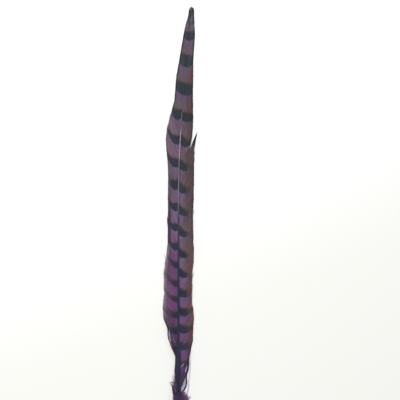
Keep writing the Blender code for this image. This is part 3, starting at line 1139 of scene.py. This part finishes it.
# %% [markdown]
# ## The bars' pigment
#
# The bars are teal black, bluer low on the feather and paler near the tip. Pigment stops at a
# slightly different place in every barb, so the streaks shift the borders. The upper border is soft
# and the lower one crisper, as on the real feather. A hard mask would look printed.

# %% Bars
FOOT_BAR, LOW_BAR = seen(67, 60, 81), seen(46, 49, 62)
HIGH_BAR, TIP_BAR = seen(52, 57, 65), seen(57, 64, 72)
BAR_COLOURS = {
    LEFT: ((92, LOW_BAR), (128, LOW_BAR), (160, HIGH_BAR), (270, HIGH_BAR), (300, TIP_BAR)),
    RIGHT: (
        (52, FOOT_BAR), (92, LOW_BAR), (138, LOW_BAR), (186, HIGH_BAR), (270, HIGH_BAR),
        (300, TIP_BAR),
    ),
}
LEFT_BAR_TINT = (1.0, 1.06, 1.14)
LEFT_LOW_BAR, LEFT_LOW_BARS = seen(60, 51, 69), (92, 98, 128, 152)
BAR_TOP, BAR_FOOT, TOP_TO_FOOT = (1.0, 1.03, 0.98, 1), (0.92, 0.98, 1.16, 1), (-1.8, -0.5)
UPPER_BORDER = {LEFT: (1.2, -1.0), RIGHT: (1.7, -1.3)}
LOWER_BORDER = (0.5, -0.6)
# A painted shade on the bars beside the pale shaft
BAR_SHADE_BESIDE, BAR_SHADE_ABOVE = (1.7, 0.5), (200, 212)  # where the bars meet the pale shaft


def bar_cover(side, at):
    """How far the bars cover the ground, from 0 to 1."""
    ragged = at.streaks * 0.7 + at.mottles * 5.0
    upper = (at.above + ragged).ease(*UPPER_BORDER[side])
    cover = upper * (at.below + ragged).ease(*LOWER_BORDER) * at.strength
    return cover * (at.fine * 0.3 + at.tone * 0.06 + 0.94 - at.mottled * 0.25)


def bar_colour(tree, side, at):
    """The pigment, bluer at a bar's lower border, with a painted shade where it meets the pale shaft.
    """
    colour = ramp(tree, at.station, BAR_COLOURS[side])
    if side == LEFT:
        colour = multiplied(tree, colour, LEFT_BAR_TINT)
        colour = blend_colours(tree, at.station.within(*LEFT_LOW_BARS), colour, LEFT_LOW_BAR)
    tint = blend_colours(tree, at.below.ease(*TOP_TO_FOOT), BAR_TOP, BAR_FOOT)
    colour = multiplied(tree, colour, tint)
    # painted shade: the bars darken where they meet the pale shaft
    beside_shaft = at.across.ease(*BAR_SHADE_BESIDE) * at.station.ease(*BAR_SHADE_ABOVE)
    return brightened(tree, colour, at.streaks * 0.36 - beside_shaft * 0.4 + 1.0)


softness = [round(out - full, 1) for out, full in (UPPER_BORDER[RIGHT], LOWER_BORDER)]
print("softness of a right bar's upper and lower border, mm:", softness)

# %% [markdown]
# ## Tip, shaft side and edge
#
# Three shades finish a vane. At the tip the middle is dark and the rim paler, with mottles over
# both. Beside the shaft a painted shade darkens the barbs, and at the foot their own colour is nearly
# black. Along the upper half of the edge, and on a stretch low on the left, a painted shade darkens
# the barbs' tips, which draws a thin line. Harder light would draw these two shades by itself, but
# here it is too soft for that, so they are painted into the barbs' colour.

# %% Shades of the vanes
TIP_RIM, TIP_SHADED_ABOVE = (0.7, 2.0), (329, 333)
DARK_FOOT_AND_SHADE = seen(56, 52, 71)[:3]
# How wide the painted shade beside the shaft is, and how dark
SHADE_BY_SHAFT = {LEFT: ((1.2, 0.7), 0.2), RIGHT: ((1.7, 0.9), 0.35)}
SHADE_BY_SHAFT_BELOW, FOOT_REACH, FOOT_BELOW = (250, 225), (3.2, 1.6), (84, 68)
EDGE_LINE = (1.9, 0.6)
TIP_LINE_ABOVE, PALE_STRETCH = (250, 270), (330, 333, 337, 340)
LINE_ABOVE = {LEFT: (160, 172), RIGHT: (140, 165)}
# A stretch of each vane where the painted line of shade is darker still, and by how much
DARKER_LINE = {LEFT: ((76, 88, 98, 106), 0.6), RIGHT: ((160, 168, 196, 206), 0.2)}


def tip_shaded(tree, at, colour):
    """Mottled, dark in the middle and paler at the rim."""
    colour = brightened(tree, colour, 1.0 + at.mottles * 1.5)
    shade = (at.across.ease(*TIP_RIM) * 0.36 - 0.22) * at.station.ease(*TIP_SHADED_ABOVE)
    return brightened(tree, colour, 1.0 + shade)


def base_shaded(tree, side, at, colour):
    """A painted shade beside the shaft, below its bare stretch, and the barbs' own near black at the
    foot.
    """
    reach, strength = SHADE_BY_SHAFT[side]
    # painted shade in a strip beside the shaft; the foot's near black is the barbs' own colour
    strip = at.across.ease(*reach) * strength * at.station.ease(*SHADE_BY_SHAFT_BELOW)
    foot = at.across.ease(*FOOT_REACH) * at.station.ease(*FOOT_BELOW)
    share = strip.math("MAXIMUM", foot)
    return blend_colours(tree, share, colour, brightened(tree, DARK_FOOT_AND_SHADE, 1.05 + at.flecks * 0.5))


def edge_shaded(tree, side, at, colour):
    """A painted shade that draws a dark line along the edge, fainter on a short pale stretch near the
    tip.
    """
    # painted shade along the edge
    line = (at.inset + at.streaks * 0.2).ease(*EDGE_LINE)
    depth = at.station.ease(*TIP_LINE_ABOVE) * (0.3 - at.station.within(*PALE_STRETCH) * 0.3)
    depth = depth + at.station.ease(*LINE_ABOVE[side]) * 0.25
    stretch, deeper = DARKER_LINE[side]
    depth = depth + at.station.within(*stretch) * deeper
    return brightened(tree, colour, 1.0 - line * depth)


print("the edge's dark line is this wide, mm:", EDGE_LINE[0])

# %% The vanes' finish
SHEEN, SHEEN_ROUGHNESS = 0.02, 0.4


def vane_material(name, side):
    material, tree, shader = new_material(name)
    at = read_vane(tree)
    ground = tinted_ground(tree, side, at)
    if side == LEFT:
        ground = left_marks(tree, at, ground)
    ground = fringed_ground(tree, at, ground)
    colour = blend_colours(tree, bar_cover(side, at), ground, bar_colour(tree, side, at))
    colour = tip_shaded(tree, at, colour)
    colour = base_shaded(tree, side, at, colour)
    colour = edge_shaded(tree, side, at, colour)
    roughness = BARB_ROUGHNESS + at.streaks * 0.08
    relief = barb_relief(tree, at, across=6.0)
    finish_surface(tree, shader, colour, roughness, BARB_GLOSS, relief, BARB_BUMP)
    plug(shader.inputs["Sheen Weight"], SHEEN)
    plug(shader.inputs["Sheen Roughness"], SHEEN_ROUGHNESS)
    return material


put_on(left_vane, vane_material("left_barbs", LEFT))
put_on(right_vane, vane_material("right_barbs", RIGHT))

# %% [markdown]
# ## The shaft's finish
#
# Horn is smooth and a little glossy. It drank the dye unevenly: almost black violet along the lower
# half, then slate and lilac grey with a short mauve stretch, then bare and pale, which shines as a
# white line, and above that brown with one lilac spot and dark again at the tip. One ramp with a
# stop at each change says that. The streaks shift its stops, so no change runs straight across.

# %% Shaft colours
HORN_PURPLE, HORN_VIOLET, HORN_BLACK = seen(92, 70, 100), seen(68, 62, 86), seen(45, 41, 64)
HORN_INK, HORN_SLATE, HORN_LILAC = seen(51, 49, 70), seen(67, 62, 81), seen(117, 110, 125)
HORN_MAUVE, HORN_BARE, HORN_BROWN = seen(113, 96, 114), seen(168, 153, 168), seen(91, 81, 90)
HORN_TIP = seen(62, 60, 68)
SHAFT_COLOURS = (
    (0, HORN_PURPLE), (36, HORN_VIOLET), (44, HORN_BLACK), (60, HORN_INK), (150, HORN_INK),
    (180, HORN_SLATE), (200, HORN_LILAC), (210, HORN_LILAC), (214, HORN_MAUVE), (218, HORN_MAUVE),
    (224, HORN_LILAC), (232, HORN_BARE), (249, HORN_BARE), (254, HORN_BROWN), (257, HORN_BROWN),
    (260, HORN_LILAC), (264, HORN_LILAC), (268, HORN_BROWN), (328, HORN_BROWN), (334, HORN_TIP),
    (345, HORN_TIP),
)
SHAFT_GLOSS, SHAFT_ROUGHNESS, SHAFT_BUMP = 0.2, 0.42, (0.3, 0.04)
SHAFT_UPPER_BORDER = (1.0, -0.9)
BARRED_ABOVE, BARS_FADE_ABOVE = (264, 268), (331, 336)


def shaft_material():
    material, tree, shader = new_material("dyed_horn")
    at = stored_numbers(tree, "station", "above", "below")
    x, _ = object_place(tree)
    streaks = noise(tree, x * 2500.0, at.station * 0.12, detail=3.0)
    colour = ramp(tree, at.station + streaks * 3.0, SHAFT_COLOURS)
    colour = brightened(tree, colour, 1.0 + streaks * 0.22)
    barred = at.above.ease(*SHAFT_UPPER_BORDER) * at.below.ease(*LOWER_BORDER)
    barred = barred * at.station.ease(*BARRED_ABOVE) * (1.0 - at.station.ease(*BARS_FADE_ABOVE) * 0.4)
    colour = blend_colours(tree, barred, colour, ramp(tree, at.station, BAR_COLOURS[RIGHT]))
    roughness = SHAFT_ROUGHNESS + streaks * 0.1
    finish_surface(tree, shader, colour, roughness, SHAFT_GLOSS, streaks, SHAFT_BUMP)
    return material


put_on(shaft, shaft_material())

# %% [markdown]
# ## The lock that stands out
#
# On the right, about a third of the way down from the tip, sixteen barbs have come unhooked from the
# vane. They still cling to each other, so they form one pointed lock that leans out to the right and
# leaves a narrow V. One fat spike would be the quick way, but the real point is wispy, so the barbs
# are laid one by one. Each starts under the vane, swings outwards and closes in on the lock's point,
# and the ends are uneven.

# %% Split lock
SPLIT_BARBS = 16
SPLIT_STEPS = 22
# Places and ways as (x, station), for the left barb and for the right one
SPLIT_BASES = np.array([(9.3, 236.4), (12.95, 234.0)])
SPLIT_ELBOWS = np.array([(1.9, 4.0), (-0.1, 7.0)])  # from the base towards the point
SPLIT_TAIL = np.array((-3.2, -10.0))  # from the base back under the vane
SPLIT_POINT, SPLIT_POINT_SPREAD = np.array((14.85, 248.9)), np.array((0.35, -0.4))
SHORTENED = (0, 0.28)
SPLIT_STRAYS = {4: (1.4, 1.9), 9: (0.9, 1.3)}  # barbs whose ends stick out of the point, and how far
SPLIT_HEIGHTS, SPLIT_ARCH, SPLIT_LAYER = (1.05, 0.55), 0.35, 0.02
SPLIT_HALF_WIDTHS, SPLIT_THINS, SPLIT_THINNED = (0.19, 0.075), (0.8, 1.0), 0.75
SPLIT_NOISE_SPAN = 9  # the lock's barbs are spread over this much of the noise


def bend(start, elbow, end, share):
    """A point on a smooth bend from start to end that heads for the elbow first."""
    return mix(mix(start, elbow, share), mix(elbow, end, share), share)


def make_split_lock():
    chance = np.random.default_rng(5)
    across_lock = np.linspace(0, 1, SPLIT_BARBS)[:, None]
    base = mix(*SPLIT_BASES, across_lock)
    tail = base + SPLIT_TAIL
    elbow = base + mix(*SPLIT_ELBOWS, across_lock)
    ends = SPLIT_POINT + (across_lock - 0.5) * SPLIT_POINT_SPREAD
    ends = mix(ends, base, chance.uniform(*SHORTENED, (SPLIT_BARBS, 1)) ** 1.5)
    for stray, further in SPLIT_STRAYS.items():
        ends[stray] += further
    share = np.linspace(0, 1, SPLIT_STEPS)[None, :, None]
    tail, base, elbow, ends = (places[:, None] for places in (tail, base, elbow, ends))
    flat = mix(bend(tail, base, elbow, share), bend(base, elbow, ends, share), share)
    share = share[:, :, 0]
    arch = SPLIT_ARCH * np.sin(np.pi * across_lock) * share * (1 - share)
    z = mix(*SPLIT_HEIGHTS, share**2) + arch + SPLIT_LAYER * (np.arange(SPLIT_BARBS)[:, None] % 3)
    thinned = 1 - SPLIT_THINNED * ease(share, *SPLIT_THINS)
    half_width = mix(*SPLIT_HALF_WIDTHS, share) * thinned * np.ones_like(z)
    half_height = np.full_like(z, BARB_HALF_HEIGHT) * (1 - 0.5 * share)
    numbers = {
        "root": across_lock * SPLIT_NOISE_SPAN * np.ones_like(z),
        "share": share * np.ones_like(z),
        "tone": chance.normal(0, 1, (SPLIT_BARBS, 1)) * np.ones_like(z),
    }
    path = place(flat[..., 0], flat[..., 1], z)
    return make_ribbons("split_lock", path, half_width, half_height, numbers)


split_lock = make_split_lock()

# %% [markdown]
# ## The lock's finish
#
# The lock is brown where it leaves the vane, then almost black over its outer half, where a bar
# crossed it, and a little paler at the very ends. The share of the way along a barb runs one ramp.

# %% Lock colours
# (share of the way along a barb, colour)
LOCK_COLOURS = (
    (0.0, seen(92, 74, 78)), (0.5, seen(86, 68, 74)), (0.62, seen(50, 48, 56)),
    (0.86, seen(48, 44, 54)), (0.97, seen(92, 84, 94)),
)


def lock_material():
    material, tree, shader = new_material("lock_barbs")
    at = stored_numbers(tree, "root", "share", "tone")
    streaks = noise(tree, at.root * 1.2, at.share * 2.0) * 0.7 + at.tone * 0.2
    colour = ramp(tree, at.share + streaks * 0.03, LOCK_COLOURS, span=1.0)
    colour = brightened(tree, colour, 1.0 + streaks * 0.3)
    roughness = BARB_ROUGHNESS + streaks * 0.08
    relief = barb_relief(tree, at)
    finish_surface(tree, shader, colour, roughness, BARB_GLOSS, relief, BARB_BUMP)
    return material


put_on(split_lock, lock_material())

# %% [markdown]
# ## Loose barbs
#
# Low on the feather the barbs lose their hooks. One long dark barb on the right has sprung away from
# the vane and loops back to the foot, with pale barbs in the gap that it leaves. Wisps stand out on
# the left, a haze of pale barbs hangs beside the foot and also paints the soft shadow there, and
# here and there a single hair has strayed over an edge. One dark barb beside the shaft is a painted
# shade. Scattering them at random would put none of them where the eye expects it. These few are
# worth laying one by one: each is a short list of places, read through a smooth curve.

# %% Loose barbs
LOOSE_STEPS = 28
# Places (x, station, z) in millimetres along each loose barb, half its width, and how pale it is
LOOP = (
    (2.4, 40.4, 1.8), (4.2, 42.6, 1.2), (5.6, 44.9, 0.9), (6.4, 47.4, 0.8), (6.45, 50.4, 0.8),
    (6.4, 53.4, 0.9), (6.9, 56.6, 0.9), (7.6, 60, 0.9), (8.0, 64, 0.9),
)
LOOSE_BARBS = (
    # The dark loop, of two barbs side by side
    (LOOP, 0.30, 0.0),
    ([(x - 0.25, station + 0.2, z + 0.1) for x, station, z in LOOP], 0.28, 0.0),
    # Pale barbs in the gap beside it
    (((2.3, 42.8, 1.6), (3.4, 45.0, 1.0), (4.4, 47.6, 0.7), (5.7, 51.8, 0.8)), 0.40, 0.95),
    (((2.7, 42.2, 1.5), (4.1, 44.6, 0.9), (5.1, 47.0, 0.7), (6.0, 51.0, 0.8)), 0.40, 1.05),
    (((1.9, 44.4, 1.6), (2.6, 46.0, 1.2), (3.5, 48.2, 0.8), (5.0, 51.6, 0.8)), 0.40, 0.95),
    # The haze further out: pale wisps, laid also as a painted shadow beside the foot
    (((6.0, 38.2, 1.2), (7.3, 42.0, 1.0), (8.1, 46.6, 0.9), (8.6, 51.0, 0.8)), 0.22, 0.9),
    # Two barbs that stand out of the tuft on the right
    (((2.6, 34.6, 2.0), (4.8, 35.8, 1.8), (6.4, 36.4, 1.5), (7.8, 36.7, 1.1)), 0.34, 0.1),
    (((5.8, 34.6, 1.4), (8.2, 36.2, 1.1), (10.2, 38.0, 0.8)), 0.24, 0.7),
    # One long hair of the haze, laid as a painted shadow along the right edge of the foot
    (
        ((6.4, 46.5, 0.9), (7.6, 49.6, 0.8), (8.9, 54.0, 0.7), (9.3, 63.0, 0.7), (9.7, 74.0, 1.0)),
        0.15, 0.9,
    ),
    # Pale barbs on the vanes
    (((-2.7, 81.0, 2.95), (-3.7, 83.6, 3.0), (-4.6, 86.4, 3.0), (-5.3, 88.6, 3.0)), 0.20, 0.48),
    (((-6.3, 81.8, 2.7), (-6.9, 84.6, 2.5), (-7.3, 88.6, 2.5), (-7.5, 92.0, 2.7)), 0.50, 0.66),
    (((5.5, 57.4, 3.2), (6.1, 59.8, 3.0), (6.8, 62.8, 2.75)), 0.2, 1.1),
    # Across the foot of the shaft
    (((0.2, 38.6, 2.0), (1.2, 41.4, 1.7), (2.0, 44.6, 1.4), (3.2, 48.6, 1.2)), 0.45, 0.15),
    # Wisps on the left of the foot
    (((-2.2, 42.4, 2.0), (-4.4, 45.8, 1.5), (-6.2, 48.2, 0.9), (-8.0, 49.6, 0.6)), 0.15, 0.5),
    (((-3.4, 37.0, 1.8), (-4.25, 41.0, 1.7), (-4.8, 45.0, 1.4), (-6.7, 48.6, 0.7)), 0.5, 0.05),
    (((-2.6, 41.2, 1.9), (-3.9, 43.6, 1.6), (-5.2, 46.4, 1.2), (-6.8, 48.0, 0.8)), 0.34, 0.15),
    (((-2.2, 42.4, 2.0), (-3.4, 45.6, 1.7), (-4.6, 48.0, 1.3), (-6.0, 50.2, 0.8)), 0.24, 0.5),
    (((-1.4, 44.0, 2.2), (-2.9, 47.8, 1.7), (-3.9, 50.6, 1.4), (-5.4, 54.6, 0.8)), 0.24, 0.65),
    (((-1.4, 46.0, 2.2), (-2.7, 49.4, 1.8), (-3.5, 52.4, 1.4), (-4.4, 56.6, 0.9)), 0.22, 0.65),
    (((-1.4, 49.0, 2.2), (-2.6, 53.0, 1.7), (-3.3, 57.6, 1.3), (-3.6, 62.6, 0.9)), 0.12, 0.8),
    # Hairs that stray over the edges
    (((10.2, 131.0, 0.6), (11.4, 133.6, 0.5), (12.2, 136.4, 0.7), (11.6, 138.2, 0.9)), 0.14, 0.9),
    (((10.8, 181.5, 0.5), (11.9, 184.0, 0.4), (12.7, 187.2, 0.5)), 0.09, 0.2),
    (((-9.6, 145.5, 0.5), (-10.6, 148.4, 0.4), (-11.3, 152.2, 0.5)), 0.10, 0.3),
    (((-7.6, 82.0, 0.5), (-8.6, 86.0, 0.4), (-9.3, 91.5, 0.4)), 0.12, 0.0),
    # A dark barb laid as painted shade beside the shaft above its middle, and two hairs on the vane by
    # the notch
    (((-1.05, 204.5, 1.8), (-1.15, 209.0, 1.85), (-1.1, 215.5, 1.8)), 0.20, 0.0),
    (((8.4, 238.6, 1.7), (7.2, 236.2, 1.9), (5.8, 233.8, 1.95)), 0.09, 0.7),
    (((5.2, 236.6, 1.95), (6.2, 235.0, 1.95), (7.2, 232.6, 1.85)), 0.08, 0.6),
)
# Pale barbs inside a vane's partings: side, root station, shares where they start and end, half width
PARTING_BARBS = (
    (LEFT, 71.5, 0.50, 0.80, 0.08), (LEFT, 65.5, 0.45, 0.95, 0.08), (RIGHT, 59.2, 0.18, 0.42, 0.20),
)
PARTING_PALENESS = {LEFT: 0.8, RIGHT: 1.1}
print("loose barbs laid by hand:", len(LOOSE_BARBS), "and in partings:", len(PARTING_BARBS))

# %% Laying the loose barbs
THINNEST, LOOSE_FLATNESS = 0.03, 0.5  # the flatness is height over width
THINS_FROM, THINS_TO = 0.55, 1.05
RAISED = 0.15  # a barb in a parting lies this much above the vane
NOISE_APART = 3.7  # far enough apart in the noise for every loose barb to differ


def laid_by_hand(places, share):
    """A path through the places, with its steps evenly spread."""
    places = np.array(places)
    steps = np.linalg.norm(np.diff(places, axis=0), axis=1)
    travelled = np.concatenate([[0], np.cumsum(steps)]) / steps.sum()
    axes = [through(tuple(zip(travelled, places[:, k])), share) for k in range(3)]
    return place(*axes)


def make_loose_barbs():
    paths, widths, paleness = [], [], []
    share = np.linspace(0, 1, LOOSE_STEPS)
    for places, half_width, pale in LOOSE_BARBS:
        paths.append(laid_by_hand(places, share))
        widths.append(half_width * (1 - ease(share, THINS_FROM, THINS_TO)) + THINNEST)
        paleness.append(pale)
    for side, root, first, last, half_width in PARTING_BARBS:
        x, station, z = lay_barbs(side, root, mix(first, last, share))
        paths.append(place(x, station, z + RAISED))
        widths.append(half_width * np.sin(np.pi * np.clip(share, 0.03, 0.97)) ** 0.5)
        paleness.append(PARTING_PALENESS[side])
    paths, widths = np.array(paths), np.array(widths)
    same_all_along = np.ones((1, LOOSE_STEPS))
    count = len(paths)
    numbers = {
        "root": np.arange(count)[:, None] * NOISE_APART * same_all_along,
        "share": share[None, :] * np.ones((count, 1)),
        "pale": np.array(paleness)[:, None] * same_all_along,
    }
    return make_ribbons("loose_barbs", paths, widths, widths * LOOSE_FLATNESS, numbers)


loose_barbs = make_loose_barbs()

# %% [markdown]
# ## The loose barbs' finish
#
# A loose barb that lies close together with others is dark purple. One that stands alone lets the
# white light through and looks pale. Real translucence would hardly show on so thin a thing, so the
# number `pale` blends three tones instead.

# %% Loose barb colours
DARK_BARB, DYED_BARB, PALE_BARB = seen(46, 34, 56), seen(122, 92, 132), seen(194, 180, 204)
DYED_STEP, PALE_STEP = (0.0, 0.5), (0.4, 1.0)  # of the paleness


def loose_material():
    material, tree, shader = new_material("loose_barbs")
    at = stored_numbers(tree, "root", "share", "pale")
    streaks = noise(tree, at.root, at.share * 5.0, detail=3.0)
    colour = blend_colours(tree, at.pale.ease(*DYED_STEP), DARK_BARB, DYED_BARB)
    colour = blend_colours(tree, at.pale.ease(*PALE_STEP), colour, PALE_BARB)
    colour = brightened(tree, colour, 1.0 + streaks * 0.35)
    relief = barb_relief(tree, at, along=120.0)
    roughness = BARB_ROUGHNESS + streaks * 0.1
    finish_surface(tree, shader, colour, roughness, BARB_GLOSS, relief, BARB_BUMP)
    return material


put_on(loose_barbs, loose_material())

# %% [markdown]
# ## Down
#
# At the foot the barbs are soft and don't hook together. Each is a thread with many finer threads on
# both sides, the barbules, and together they make a fluffy tuft that took the dye more strongly than
# anything else. Most threads leave the quill sideways and curl back. Particles would make this
# quickly, but they are lost when the model leaves this file, so the barbules are thin closed spikes
# of four triangles, built in one go from arrays.

# %% Down threads
DOWN_BARBS, DOWN_JITTER = 72, (-0.4, 0.4)  # how many on each side, and how far out of step
DOWN_FROM, DOWN_TO = 14, {LEFT: 48, RIGHT: 40.7}
DOWN_REACH = {
    LEFT: ((13, 6.5), (24, 8.6), (31, 6.0), (36, 3.7), (41, 4.2), (48, 5.4)),
    RIGHT: ((13, 7), (24, 10.5), (35, 10.6), (41, 7.9)),
}
DOWN_ANGLES = {LEFT: (104, 18), RIGHT: (98, 77)}  # degrees from the shaft, lowest and highest
DOWN_SCATTER, DOWN_CURL, DOWN_CURLS = 0.16, 0.35, (0.4, 1.5)
DOWN_LENGTHS = (0.78, 1.08)
DOWN_LIFT, DOWN_REST = (-0.2, 1.6), 0.3
DOWN_HALF_WIDTHS, DOWN_FLATNESS = (0.10, 0.04), 0.6  # the flatness is height over width
DOWN_STEPS = 12
# Threads start beside the quill's middle line. Low down every third one starts across it, on the
# other side, so that the tuft closes over the quill.
DOWN_START, DOWN_CROSSING, CROSSING_BELOW = 0.9, 1.2, (34, 30)


def down_paths(chance):
    paths = []
    share = np.linspace(0, 1, DOWN_STEPS)
    for side in (LEFT, RIGHT):
        for k in range(DOWN_BARBS):
            along = (k + chance.uniform(*DOWN_JITTER)) / (DOWN_BARBS - 1)
            station = mix(DOWN_FROM, DOWN_TO[side], along)
            length = through(DOWN_REACH[side], station) * chance.uniform(*DOWN_LENGTHS)
            angle = np.radians(mix(*DOWN_ANGLES[side], along)) + chance.normal(0, DOWN_SCATTER)
            turned = angle + DOWN_CURL * chance.uniform(*DOWN_CURLS) * share
            start = DOWN_START - DOWN_CROSSING * (k % 3 == 0) * ease(station, *CROSSING_BELOW)
            x = centre_x(station) + side * (length * share * np.sin(turned) + start * (1 - share))
            y = station + length * share * np.cos(turned)
            lift = chance.uniform(*DOWN_LIFT) * np.sin(np.pi * share)
            z = mix(root_height(side, station), DOWN_REST, share**2) + lift
            paths.append(place(x, y, z))
    return np.array(paths)


def make_down_threads(paths, tone):
    share = np.linspace(0, 1, DOWN_STEPS)[None, :] * np.ones((len(paths), 1))
    half_width = mix(*DOWN_HALF_WIDTHS, share)
    numbers = {
        "share": share,
        "tone": tone * np.ones_like(share),
        "root": paths[..., 1] + ORIGIN_STATION,
    }
    half_height = half_width * DOWN_FLATNESS
    return make_ribbons("down_threads", paths, half_width, half_height, numbers)


down_chance = np.random.default_rng(31)
thread_paths = down_paths(down_chance)
thread_tone = down_chance.normal(0, 1, (len(thread_paths), 1))
down_threads = make_down_threads(thread_paths, thread_tone)

# %% Spikes
NEARLY_UP = UP + 0.01  # no barbule points exactly this way
SPIKE_CORNERS = np.radians([90, 210, 330])
SPIKE_FACES = np.array([(0, 1, 3), (1, 2, 3), (2, 0, 3), (0, 2, 1)])
SPIKE_ON_MAP = np.array([(0, 0), (0.002, 0), (0.002, 0.006), (0, 0.006)])


def make_spikes(name, starts, tips, radius, on_map, numbers):
    """Closed spikes with a three-cornered foot."""
    ahead = unit(tips - starts)
    sideways = unit(np.cross(ahead, NEARLY_UP))
    above = np.cross(sideways, ahead)
    foot = [
        starts + radius * (np.cos(corner) * sideways + np.sin(corner) * above)
        for corner in SPIKE_CORNERS
    ]
    points = np.stack([*foot, tips], axis=1)
    faces = SPIKE_FACES[None] + 4 * np.arange(len(starts))[:, None, None]
    corners = (on_map[:, None, :] + SPIKE_ON_MAP[None]).reshape(-1, 2)[faces.reshape(-1)]
    spread = {key: np.repeat(value[:, None], 4, axis=1) for key, value in numbers.items()}
    print(name, "spikes:", len(starts), "triangles:", 4 * len(starts))
    return make_mesh(name, points.reshape(-1, 3), faces.reshape(-1, 3).tolist(), corners, spread)

# %% Down fluff
BARBULES = 130  # on each down thread
BARBULE_LENGTH, BARBULE_LENGTHS, SHORTER_AT_END = 2.3, (0.5, 1.15), 0.55
BARBULE_RADIUS = 0.045
BARBULE_LEAN, BARBULE_RISE = (0.5, 1.3), 0.35
FIRST_BARBULE = 0.04  # as a share of the thread
FLUFF_LOWEST, FLUFF_HIGHEST, FLUFF_ROOTS_LOWEST = 0.08, 4.9, 0.1
FLUFF_COLUMN, FLUFF_MAP_LOW, FLUFF_MAP_SPAN = 0.3, 0.02, 0.95  # one map column for each thread
FLUFF_TONE = 0.6  # how far barbules of one thread differ in tone


def make_down_fluff(paths, tone, chance):
    count = len(paths)
    where = chance.uniform(FIRST_BARBULE, 1.0, (count, BARBULES)) * (DOWN_STEPS - 1)
    low = np.clip(where.astype(int), 0, DOWN_STEPS - 2)
    row = np.arange(count)[:, None]
    near, far = paths[row, low], paths[row, low + 1]
    starts = mix(near, far, (where - low)[..., None])
    ahead = unit(far - near)
    sideways = unit(np.cross(ahead, UP)) * np.where(np.arange(BARBULES) % 2, 1, -1)[None, :, None]
    lean = chance.uniform(*BARBULE_LEAN, (count, BARBULES, 1))
    rise = chance.normal(0, BARBULE_RISE, (count, BARBULES, 1)) * UP
    direction = unit(ahead + sideways * lean + rise)
    along = where / (DOWN_STEPS - 1)
    size = BARBULE_LENGTH * (1 - SHORTER_AT_END * along)
    size = size * chance.uniform(*BARBULE_LENGTHS, along.shape)
    tips = starts + direction * size[..., None]
    tips[..., 2] = np.clip(tips[..., 2], FLUFF_LOWEST, FLUFF_HIGHEST)
    starts[..., 2] = np.maximum(starts[..., 2], FLUFF_ROOTS_LOWEST)
    map_x = (row + FLUFF_COLUMN) / count * np.ones_like(along)
    on_map = np.stack([map_x, FLUFF_MAP_LOW + FLUFF_MAP_SPAN * along], axis=-1)
    numbers = {
        "share": along.ravel(),
        "tone": (tone + FLUFF_TONE * chance.normal(0, 1, along.shape)).ravel(),
        "root": (starts[..., 1] + ORIGIN_STATION).ravel(),
    }
    starts, tips, on_map = starts.reshape(-1, 3), tips.reshape(-1, 3), on_map.reshape(-1, 2)
    return make_spikes("down_fluff", starts, tips, BARBULE_RADIUS, on_map, numbers)


down_fluff = make_down_fluff(thread_paths, thread_tone, down_chance)

# %% [markdown]
# ## The down's finish
#
# Down is the dullest part. Its threads are dusky purple at the quill and a bright orchid further
# out, where they are loose and light comes through them. The highest threads are greyer. One tone
# would make the tuft look like a brush, so noise in clumps and a tone of its own for every thread
# break it up.

# %% Down colours
DUSKY_DOWN, BRIGHT_DOWN, GREY_DOWN = seen(98, 80, 112), seen(148, 103, 160), seen(122, 107, 132)
DOWN_GLOSS, DOWN_ROUGHNESS, DOWN_BUMP = 0.1, 0.7, (0.2, 0.02)
BRIGHT_STEP, GREYER_ABOVE = (0.05, 0.8), (39, 45)  # a share of the thread, and stations


def down_material():
    material, tree, shader = new_material("dyed_down")
    at = stored_numbers(tree, "root", "share", "tone")
    clumps = noise(tree, at.root * 0.5, at.share * 3.0, detail=3.0)
    colour = blend_colours(tree, at.share.ease(*BRIGHT_STEP), DUSKY_DOWN, BRIGHT_DOWN)
    colour = blend_colours(tree, at.root.ease(*GREYER_ABOVE), colour, GREY_DOWN)
    colour = brightened(tree, colour, clumps * 0.3 + at.tone * 0.12 + 1.0)
    relief = barb_relief(tree, at, across=9.0, along=60.0)
    roughness = DOWN_ROUGHNESS + clumps * 0.1
    finish_surface(tree, shader, colour, roughness, DOWN_GLOSS, relief, DOWN_BUMP)
    return material


down_finish = down_material()
put_on(down_threads, down_finish)
put_on(down_fluff, down_finish)

# %% [markdown]
# ## Riding on the solid feather
#
# The real feather is one growth, so every piece moves with the one body and stands in for the
# solid, which is hidden.

# %% The dressed feather
for piece in (shaft, left_vane, right_vane, split_lock, loose_barbs, down_threads, down_fluff):
    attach(piece, "root")
    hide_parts("feather")
